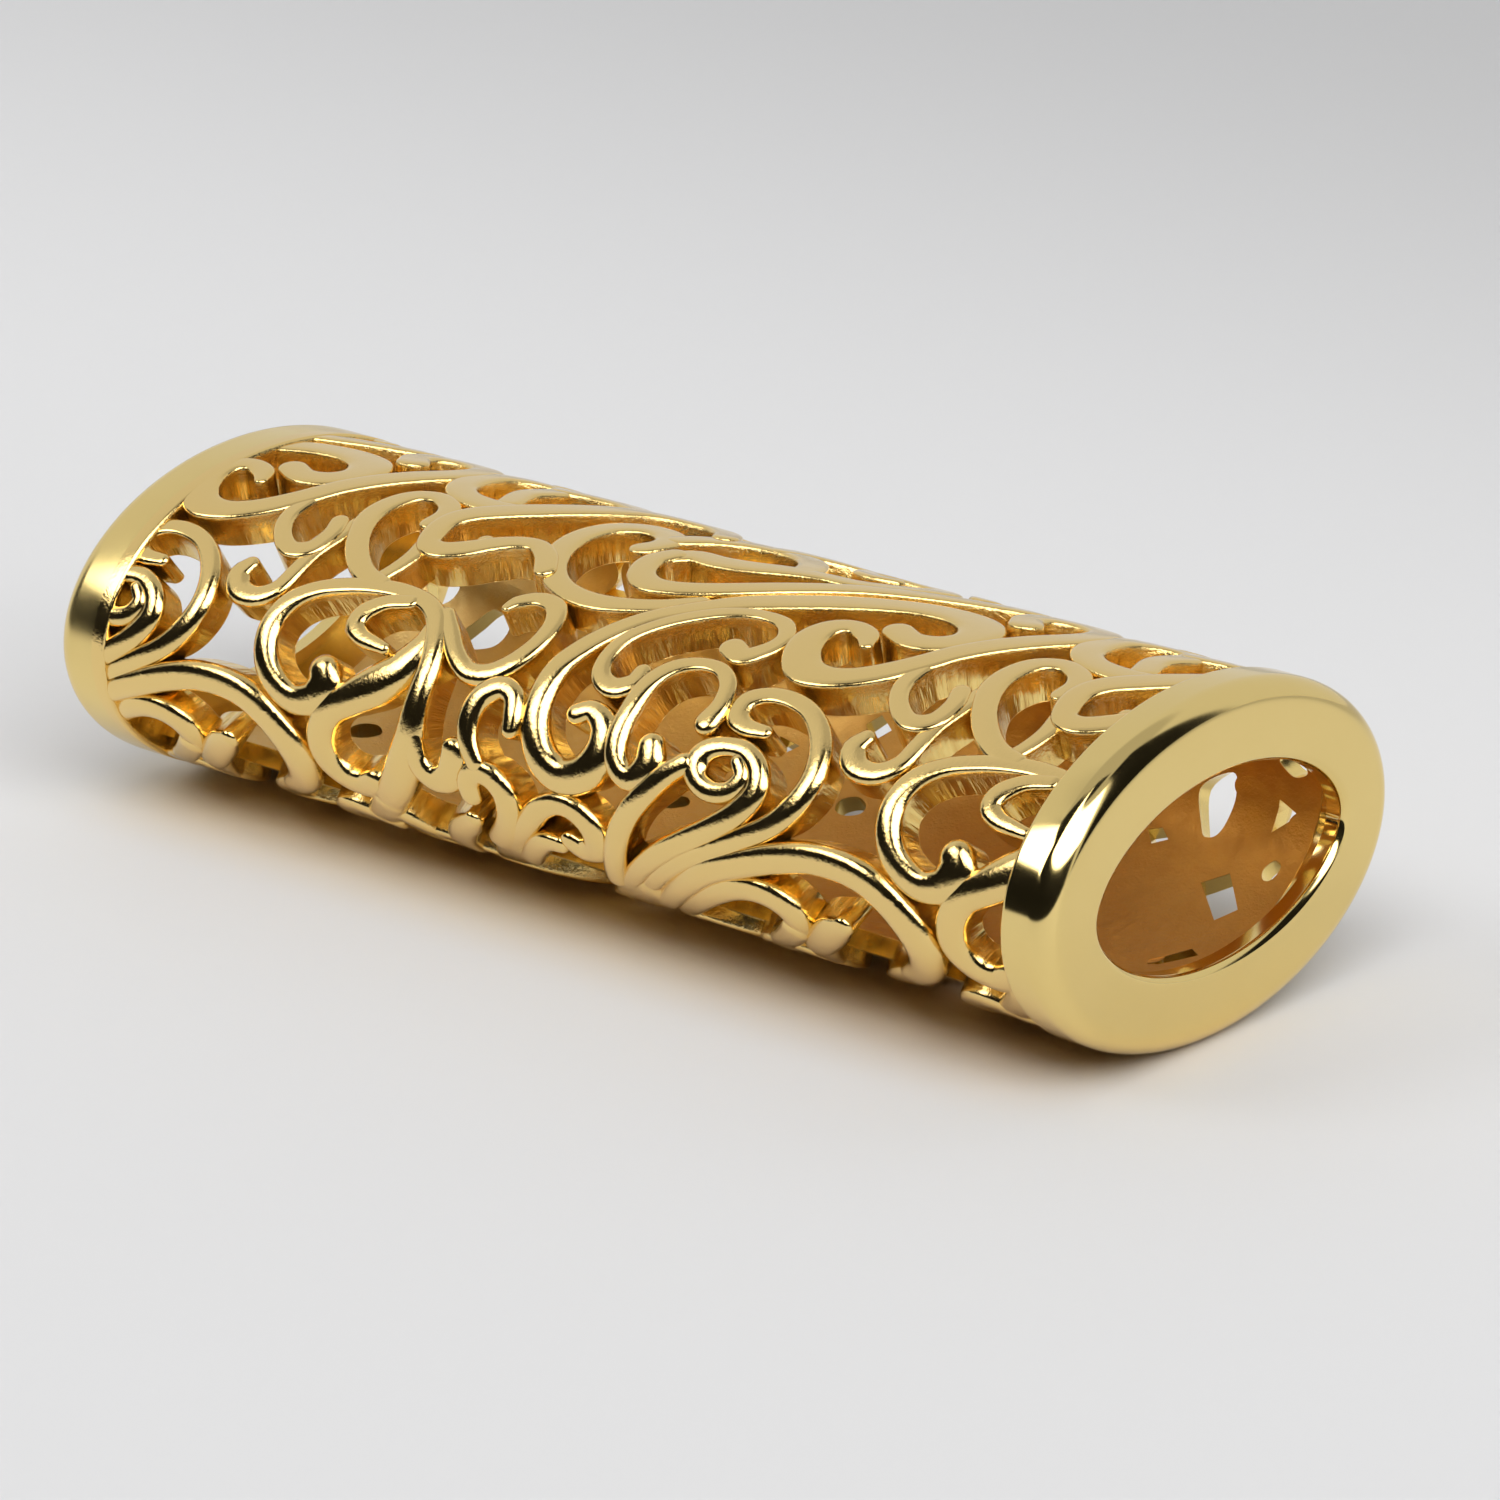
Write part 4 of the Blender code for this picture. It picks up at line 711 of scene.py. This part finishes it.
def cut_flat(bm, point, outward):
    """Cuts the closed bodies at a plane, drops what lies outwards of it and closes the cuts."""
    geometry = bm.verts[:] + bm.edges[:] + bm.faces[:]
    bmesh.ops.bisect_plane(bm, geom=geometry, plane_co=point, plane_no=outward, clear_outer=True,
                           dist=CUT_WELD)
    open_edges = [edge for edge in bm.edges if edge.is_boundary]
    bmesh.ops.holes_fill(bm, edges=open_edges, sides=0)


def piece_from_arrays(name, points, faces, attributes):
    """A new mesh object at the origin with float attributes on its points."""
    mesh = bpy.data.meshes.new(name)
    mesh.from_pydata(points, [], faces)
    for label, values in attributes.items():
        layer = mesh.attributes.new(label, "FLOAT", "POINT")
        layer.data.foreach_set("value", np.ascontiguousarray(values, np.float32))
    piece = bpy.data.objects.new(name, mesh)
    bpy.context.scene.collection.objects.link(piece)
    return piece


def finish_piece(piece, material, node):
    """Smooth shading with sharp corners, material, and the piece's place in the frame."""
    mesh = piece.data
    mesh.polygons.foreach_set("use_smooth", np.ones(len(mesh.polygons), bool))
    mesh.set_sharp_from_angle(angle=SHARP_ANGLE)
    mesh.materials.append(material)
    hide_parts(node)
    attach(piece, BODY)


def make_shell(name, turned, scrolls, collars, material, node):
    """Half of the scrollwork, cut at the seam and at the collars, turned over for the lower half."""
    reach = HALF_LENGTH / MM
    if turned:
        backing = ((-reach, -SEAM_OVERLAP), (reach, BACKING_REACH), LOWER_OPENINGS)
    else:
        backing = (PATCH_START, (reach, PATTERN_HALF_TURN + SEAM_OVERLAP), UPPER_OPENINGS)
    points, faces, depths, lengths = shell_arrays(scrolls, collars, *backing)
    piece = piece_from_arrays(name, points, faces, {"depth": depths / MM, "along": lengths / MM})
    bm = bmesh.new()
    bm.from_mesh(piece.data)
    bmesh.ops.remove_doubles(bm, verts=bm.verts, dist=WELD)
    end = HALF_LENGTH - collars.length + SHELL_TUCK
    cut_flat(bm, (0, 0, 0), (0, 0, -1))
    cut_flat(bm, (end, 0, 0), (1, 0, 0))
    cut_flat(bm, (-end, 0, 0), (-1, 0, 0))
    bmesh.ops.recalc_face_normals(bm, faces=bm.faces)
    if turned:
        bmesh.ops.transform(bm, matrix=Matrix.Rotation(math.pi, 4, "X"), verts=bm.verts)
    bmesh.ops.translate(bm, vec=(0, 0, MIDDLE), verts=bm.verts)
    bm.to_mesh(piece.data)
    bm.free()
    finish_piece(piece, material, node)


def collar_profile(collars, band, proud):
    """Closed profile of a collar as (x, depth): outer rounding, ring, mouth rounding, lip, band and back.

    It stands proud of the shells, or level with them and without a rounded back.
    """
    end = HALF_LENGTH
    back = end - collars.length
    bore = collars.wall - SHELL_RECESS
    lip = end - collars.lip
    quarter = np.linspace(0.0, math.pi / 2, QUARTER_POINTS)
    rise = 1 - np.sin(quarter)
    fall = 1 - np.cos(quarter)
    radius = collars.back_rounding if proud > 0 else LEVEL_BACK
    outer = np.stack([end - collars.rounding * rise, collars.rounding * fall - proud], axis=1)
    inner = np.stack([end - collars.bore_rounding * fall, bore - collars.bore_rounding * rise], axis=1)
    shoulder = np.stack([back + radius * fall, radius * rise - proud], axis=1)
    ring = np.linspace(outer[-1], inner[0], RING_POINTS)[1:-1]
    return np.vstack([outer, ring, inner, [(lip, bore), (lip, band), (back, band)], shoulder])


def make_collar(name, turned, collars, band, proud, material, node):
    """A collar: its profile carried round by equal turns of the section's normal, with a parting line."""
    profile = collar_profile(collars, band, proud)
    beside = np.delete(np.linspace(-PARTING_REACH, PARTING_REACH, PARTING_POINTS), PARTING_POINTS // 2)
    turns = np.linspace(0.0, 2 * math.pi, COLLAR_STEPS + 1)[:-1]
    turns = np.sort(np.concatenate([turns, beside, math.pi + beside]))
    angle = np.arctan2(HALF_HEIGHT * np.sin(turns), HALF_ACROSS * np.cos(turns))
    line = collars.parting * np.exp(-(np.sin(turns) / PARTING_WIDTH) ** 2)
    outside = (profile[:, 1] < collars.rounding - proud - HAIR).astype(float)
    depth = profile[None, :, 1] - line[:, None] * outside[None, :]
    rings = on_section(profile[None, :, 0], angle[:, None], depth)
    if turned:
        rings = rings * np.array([-1.0, -1.0, 1.0])
    rings = rings + np.array([0.0, 0.0, MIDDLE])
    piece = piece_from_arrays(name, rings.reshape(-1, 3), grid_faces(*rings.shape[:2], closed=True), {})
    finish_piece(piece, material, node)


def put(tree, socket, value):
    """Links a socket to another one, or sets it to a number or colour."""
    if isinstance(value, bpy.types.NodeSocket):
        tree.links.new(value, socket)
    else:
        socket.default_value = value


def add_node(tree, kind, values, **settings):
    """A new node with its settings, and with numbers, colours or links put into its named inputs."""
    node = tree.nodes.new(kind)
    for label, value in settings.items():
        setattr(node, label, value)
    for label, value in values.items():
        put(tree, node.inputs[label], value)
    return node


def math_node(tree, operation, *values):
    """Result of a sum, product or other function of numbers or links."""
    return add_node(tree, "ShaderNodeMath", dict(enumerate(values)), operation=operation).outputs[0]


def map_range(tree, source, start, stop, low=0.0, high=1.0):
    """Smooth step from low to high while the source goes from start to stop."""
    values = {"Value": source, "From Min": start, "From Max": stop, "To Min": low, "To Max": high}
    return add_node(tree, "ShaderNodeMapRange", values, interpolation_type="SMOOTHSTEP").outputs["Result"]


def mix_value(tree, factor, first, second):
    """Mix of two numbers or links by a factor."""
    return add_node(tree, "ShaderNodeMix", {0: factor, 2: first, 3: second}, data_type="FLOAT").outputs[0]


def mix_colour(tree, factor, first, second):
    """Mix of two colours or links by a factor."""
    return add_node(tree, "ShaderNodeMix", {0: factor, 6: first, 7: second}, data_type="RGBA").outputs[2]


def attribute(tree, name):
    """Value of one of the piece's own attributes."""
    return add_node(tree, "ShaderNodeAttribute", {}, attribute_name=name).outputs["Fac"]


def axes_of(tree, place):
    """The X, Y and Z sockets of a place."""
    return add_node(tree, "ShaderNodeSeparateXYZ", {"Vector": place}).outputs


def tinted(colour, shares):
    """A colour times a share for each of red, green and blue."""
    return tuple(part * share for part, share in zip(colour, shares)) + (1.0,)


def new_material(name):
    """A new material, its node tree and its shader."""
    material = bpy.data.materials.new(name)
    material.use_nodes = True
    return material, material.node_tree, material.node_tree.nodes["Principled BSDF"]


def new_group(name, inputs, outputs):
    """A new node group with named number sockets, and the sockets of its two end nodes."""
    group = bpy.data.node_groups.new(name, "ShaderNodeTree")
    for labels, direction in ((inputs, "INPUT"), (outputs, "OUTPUT")):
        for label in labels:
            group.interface.new_socket(label, in_out=direction, socket_type="NodeSocketFloat")
    return group, group.nodes.new("NodeGroupInput").outputs, group.nodes.new("NodeGroupOutput").inputs


def grain_group():
    """Node group: mottled polish and fine cast grain on Object coordinates, as two masks."""
    group, start, stop = new_group("Cast grain", ("Grain scale", "Mottle scale"), NOISE_DETAIL)
    place = group.nodes.new("ShaderNodeTexCoord").outputs["Object"]
    for label, detail in NOISE_DETAIL.items():
        values = {"Vector": place, "Scale": start[label + " scale"], "Detail": detail}
        values["Roughness"] = NOISE_ROUGHNESS
        group.links.new(add_node(group, "ShaderNodeTexNoise", values).outputs["Fac"], stop[label])
    return group


def patch_group():
    """Node group: a soft-edged patch, from the distances across and up to its sloping middle line."""
    group, start, stop = new_group("Soft patch", ("Across", "Up", *PATCH_SIZES, "Slope"), ("Mask",))
    aside = math_node(group, "SUBTRACT", start["Across"], start["Middle across"])
    above = math_node(group, "SUBTRACT", start["Up"], start["Middle up"])
    above = math_node(group, "SUBTRACT", above, math_node(group, "MULTIPLY", aside, start["Slope"]))
    masks = []
    for offset, half in ((aside, "Half width"), (above, "Half height")):
        outside = math_node(group, "SUBTRACT", math_node(group, "ABSOLUTE", offset), start[half])
        masks.append(map_range(group, outside, 0.0, start["Softness"], 1.0, 0.0))
    group.links.new(math_node(group, "MULTIPLY", *masks), stop["Mask"])
    return group


def group_node(tree, name, maker, values, label=""):
    """The named node group placed in a tree with its own values, made first where there is none yet."""
    group = bpy.data.node_groups.get(name) or maker()
    return add_node(tree, "ShaderNodeGroup", values, node_tree=group, label=label).outputs


def grain_node(tree, grain_scale, mottle_scale):
    """The cast grain with its own scales."""
    scales = {"Grain scale": grain_scale, "Mottle scale": mottle_scale}
    return group_node(tree, "Cast grain", grain_group, scales)


def scroll_gold(name, gold, bore):
    """Scroll finish: polished tops, streaked satin hole walls and a matte bore, told apart by depth.

    The hole walls' colour is partly painted bounce light, and the bore is painted paler towards the tail, as
    painted light falling in there.
    """
    material, tree, shader = new_material(name)
    shader.inputs["Metallic"].default_value = 1.0
    depth = attribute(tree, "depth")
    on_wall = map_range(tree, depth, *TOP_TO_WALL)
    in_bore = map_range(tree, depth, *(bore - above for above in ABOVE_BORE))
    grain = grain_node(tree, *SCROLL_GRAIN)
    along_wall = add_node(tree, "ShaderNodeCombineXYZ", {0: attribute(tree, "along"), 1: depth}).outputs[0]
    stretch = add_node(tree, "ShaderNodeMapping", {"Scale": STREAK_STRETCH, "Vector": along_wall}).outputs[0]
    streak = add_node(tree, "ShaderNodeTexNoise", {"Vector": stretch, **STREAK_NOISE}).outputs["Fac"]
    axes = axes_of(tree, tree.nodes.new("ShaderNodeTexCoord").outputs["Object"])
    # Hole walls: gold brightened with painted bounce light, with streaks of tarnish
    dull = tinted(gold.wall_gold_and_bounce, DULL_SHARES)
    streaked = mix_colour(tree, map_range(tree, streak, *TARNISH), gold.wall_gold_and_bounce, dull)
    colour = mix_colour(tree, on_wall, gold.scroll_colour, streaked)
    # Painted light: the bore is paler towards the tail, where light falls in
    inside = mix_colour(tree, map_range(tree, axes["X"], *PAINTED_BORE_LIGHT), gold.lit_tail_bore, gold.bore_colour)
    put(tree, shader.inputs["Base Color"], mix_colour(tree, in_bore, colour, inside))
    from_middle = math_node(tree, "ABSOLUTE", math_node(tree, "SUBTRACT", axes["Z"], MIDDLE))
    flat = map_range(tree, from_middle, *DOME_TO_FLAT)
    rough = mix_value(tree, flat, gold.dome_roughness, gold.top_roughness)
    rough = mix_value(tree, on_wall, rough, gold.wall_roughness)
    rough = mix_value(tree, in_bore, rough, gold.bore_roughness)
    uneven = map_range(tree, grain["Mottle"], *UNEVEN)
    put(tree, shader.inputs["Roughness"], math_node(tree, "MULTIPLY", rough, uneven))
    height = mix_value(tree, on_wall, grain["Grain"], map_range(tree, streak, *RIDGES))
    height = mix_value(tree, in_bore, height, grain["Grain"])
    strength = mix_value(tree, flat, map_range(tree, depth, *DOME_BUMP), map_range(tree, depth, *FLAT_BUMP))
    bump = {"Strength": strength, "Distance": SCROLL_BUMP_DEPTH, "Height": height}
    put(tree, shader.inputs["Normal"], add_node(tree, "ShaderNodeBump", bump).outputs["Normal"])
    return material


def collar_gold(name, gold, roughness):
    """Collar finish: polish of the given roughness with faint mottling and fine grain."""
    material, tree, shader = new_material(name)
    shader.inputs["Metallic"].default_value = 1.0
    grain = grain_node(tree, *COLLAR_GRAIN)
    deep = tinted(gold.colour, MOTTLE_SHARES)
    put(tree, shader.inputs["Base Color"], mix_colour(tree, grain["Mottle"], gold.colour, deep))
    uneven = [roughness * share for share in COLLAR_UNEVEN]
    put(tree, shader.inputs["Roughness"], map_range(tree, grain["Mottle"], *COLLAR_MOTTLE, *uneven))
    bump = {"Strength": COLLAR_BUMP, "Distance": COLLAR_BUMP_DEPTH, "Height": grain["Grain"]}
    put(tree, shader.inputs["Normal"], add_node(tree, "ShaderNodeBump", bump).outputs["Normal"])
    return material


class SLEEVE_OT_scrollwork(bpy.types.Operator):
    """Build both halves of the pierced scrollwork."""

    bl_idname = "sleeve.scrollwork"
    bl_label = "Scrollwork"

    def execute(self, context):
        scene = context.scene
        for half, turned in (("upper", False), ("lower", True)):
            material = scroll_gold(half + "_scroll_gold", scene.sleeve_gold, scene.sleeve_scrolls.wall / MM)
            make_shell(half + "_scrollwork", turned, scene.sleeve_scrolls, scene.sleeve_collars, material,
                       half + "_scroll_shell")
        return {"FINISHED"}


class SLEEVE_OT_collars(bpy.types.Operator):
    """Build the polished collar at each end."""

    bl_idname = "sleeve.collars"
    bl_label = "Collars"

    def execute(self, context):
        scene = context.scene
        gold = scene.sleeve_gold
        for end, turned, proud, roughness in (("mouth", False, SHELL_RECESS, gold.collar_roughness),
                                              ("tail", True, 0.0, gold.tail_roughness)):
            material = collar_gold(end + "_polish", gold, roughness)
            make_collar(end + "_ring", turned, scene.sleeve_collars, scene.sleeve_scrolls.wall, proud,
                        material, end + "_collar")
        return {"FINISHED"}


def light_world(stage):
    """World: a pale tent with a dark room before it and two softboxes at its open side.

    A direction's azimuth is 0 towards -Y and 90 degrees towards +X. Each area is a patch of azimuth and
    elevation.
    """
    world = bpy.data.worlds.new("studio")
    bpy.context.scene.world = world
    world.use_nodes = True
    tree = world.node_tree
    axes = axes_of(tree, tree.nodes.new("ShaderNodeTexCoord").outputs["Generated"])
    azimuth = math_node(tree, "ARCTAN2", axes["X"], math_node(tree, "MULTIPLY", axes["Y"], -1.0))
    elevation = math_node(tree, "ARCSINE", axes["Z"])
    level = stage.backdrop
    for name, *angles, slope, strength in PATCHES:
        values = dict(zip(PATCH_SIZES, (math.radians(angle) for angle in angles)))
        values.update({"Across": azimuth, "Up": elevation, "Slope": slope})
        patch = group_node(tree, "Soft patch", patch_group, values, name)
        level = mix_value(tree, patch["Mask"], level, getattr(stage, strength))
    background = tree.nodes["Background"].inputs
    put(tree, background["Strength"], level)
    put(tree, background["Color"], (1.0, 1.0, 1.0, 1.0))


def make_floor(stage):
    """A wide flat floor with a faint mottle, with painted shade far behind the object and in the room
    before it.

    Close in front of the sleeve a warm tint is painted on it: painted bounce light, for the light that
    the gold throws back.
    """
    mesh = bpy.data.meshes.new("floor")
    corners = [(x * FLOOR_REACH, y * FLOOR_REACH, 0) for x, y in ((-1, -1), (1, -1), (1, 1), (-1, 1))]
    mesh.from_pydata(corners, [], [(0, 1, 2, 3)])
    floor = bpy.data.objects.new("floor", mesh)
    bpy.context.scene.collection.objects.link(floor)
    material, tree, shader = new_material("pale_board")
    shader.inputs["Roughness"].default_value = FLOOR_ROUGHNESS
    shader.inputs["Specular IOR Level"].default_value = FLOOR_SHINE
    place = tree.nodes.new("ShaderNodeTexCoord").outputs["Object"]
    axes = axes_of(tree, place)
    noise = add_node(tree, "ShaderNodeTexNoise", {"Vector": place, "Scale": FLOOR_MOTTLE}).outputs["Fac"]
    pale = stage.floor_colour
    board = mix_colour(tree, noise, pale, tinted(pale, MOTTLED))
    # Painted shade: darker far behind the object and in the unlit room before it
    board = mix_colour(tree, map_range(tree, axes["Y"], *FAR_FLOOR), board, tinted(pale, FAR_PAINTED_SHADE))
    board = mix_colour(tree, map_range(tree, axes["Y"], *ROOM_FLOOR), board, ROOM_PAINTED_SHADE)
    # Painted bounce light: the warm patch of light from the gold, painted on the floor
    warm = mix_colour(tree, map_range(tree, axes["X"], *PAINTED_BOUNCE_TO_MOUTH), stage.painted_bounce_colour, stage.painted_bounce_at_mouth)
    glow = group_node(tree, "Soft patch", patch_group, {"Across": axes["X"], "Up": axes["Y"], **PAINTED_BOUNCE_PATCH})
    put(tree, shader.inputs["Base Color"], mix_colour(tree, glow["Mask"], board, warm))
    mesh.materials.append(material)


def make_camera():
    """Photograph's camera: azimuth, elevation and roll round the sleeve's middle, then its own shift."""
    azimuth, elevation, roll = (math.radians(a) for a in CAMERA_TURNS)
    back = Vector((math.sin(azimuth) * math.cos(elevation), -math.cos(azimuth) * math.cos(elevation),
                   math.sin(elevation)))
    right = (-back).cross(Vector((0, 0, 1))).normalized()
    down = (-back).cross(right)
    rolled_right = math.cos(roll) * right + math.sin(roll) * down
    rolled_down = math.cos(roll) * down - math.sin(roll) * right
    shift_x, shift_y, distance = CAMERA_PLACE
    place = -(rolled_right * shift_x + rolled_down * shift_y - back * distance) + Vector((0, 0, MIDDLE))
    data = bpy.data.cameras.new("camera")
    data.sensor_width = SENSOR_WIDTH
    data.lens = CAMERA_LENS
    camera = bpy.data.objects.new("camera", data)
    turn = Matrix((rolled_right, -rolled_down, back)).transposed()
    camera.matrix_world = Matrix.Translation(place) @ turn.to_4x4()
    bpy.context.scene.collection.objects.link(camera)
    bpy.context.scene.camera = camera


def overhead_light(stage):
    """A wide light above the set, for the floor and its soft shadows."""
    data = bpy.data.lights.new("overhead", "AREA")
    data.shape = "RECTANGLE"
    data.size, data.size_y = OVERHEAD_SIZE
    data.energy = stage.overhead
    light = bpy.data.objects.new("overhead", data)
    light.location = OVERHEAD_PLACE
    light.visible_glossy = False
    bpy.context.scene.collection.objects.link(light)


class SLEEVE_OT_stage(bpy.types.Operator):
    """Set up the floor, the studio light and the camera."""

    bl_idname = "sleeve.stage"
    bl_label = "Stage"

    def execute(self, context):
        stage = context.scene.sleeve_stage
        context.scene.view_settings.view_transform = "Standard"
        light_world(stage)
        overhead_light(stage)
        make_floor(stage)
        make_camera()
        return {"FINISHED"}


class SLEEVE_PT_panel(bpy.types.Panel):
    """Settings and steps of the sleeve."""

    bl_label = "Gold Scroll Sleeve"
    bl_space_type = "VIEW_3D"
    bl_region_type = "UI"
    bl_category = "Sleeve"

    def draw(self, context):
        layout = self.layout
        for title, group, operator in PANEL_ROWS:
            box = layout.box()
            box.label(text=title)
            settings = getattr(context.scene, group)
            for name in settings.__annotations__:
                box.prop(settings, name)
            if operator:
                box.operator(operator)


SETTINGS = {
    "sleeve_scrolls": ScrollSettings,
    "sleeve_collars": CollarSettings,
    "sleeve_gold": GoldSettings,
    "sleeve_stage": StageSettings,
}
PANEL_ROWS = (
    ("Scrollwork", "sleeve_scrolls", "sleeve.scrollwork"),
    ("Collars", "sleeve_collars", "sleeve.collars"),
    ("Gold", "sleeve_gold", ""),
    ("Stage", "sleeve_stage", "sleeve.stage"),
)
CLASSES = (*SETTINGS.values(), SLEEVE_OT_scrollwork, SLEEVE_OT_collars, SLEEVE_OT_stage, SLEEVE_PT_panel)


def register():
    """Registers the classes and hangs the settings on the scene."""
    for cls in CLASSES:
        bpy.utils.register_class(cls)
    for name, cls in SETTINGS.items():
        setattr(bpy.types.Scene, name, PointerProperty(type=cls))


def unregister():
    """Takes the settings and the classes away again."""
    for name in SETTINGS:
        delattr(bpy.types.Scene, name)
    for cls in reversed(CLASSES):
        bpy.utils.unregister_class(cls)


def main():
    """Builds the pieces and the stage."""
    register()
    bpy.ops.sleeve.scrollwork()
    bpy.ops.sleeve.collars()
    bpy.ops.sleeve.stage()


if __name__ == "__main__":
    main()
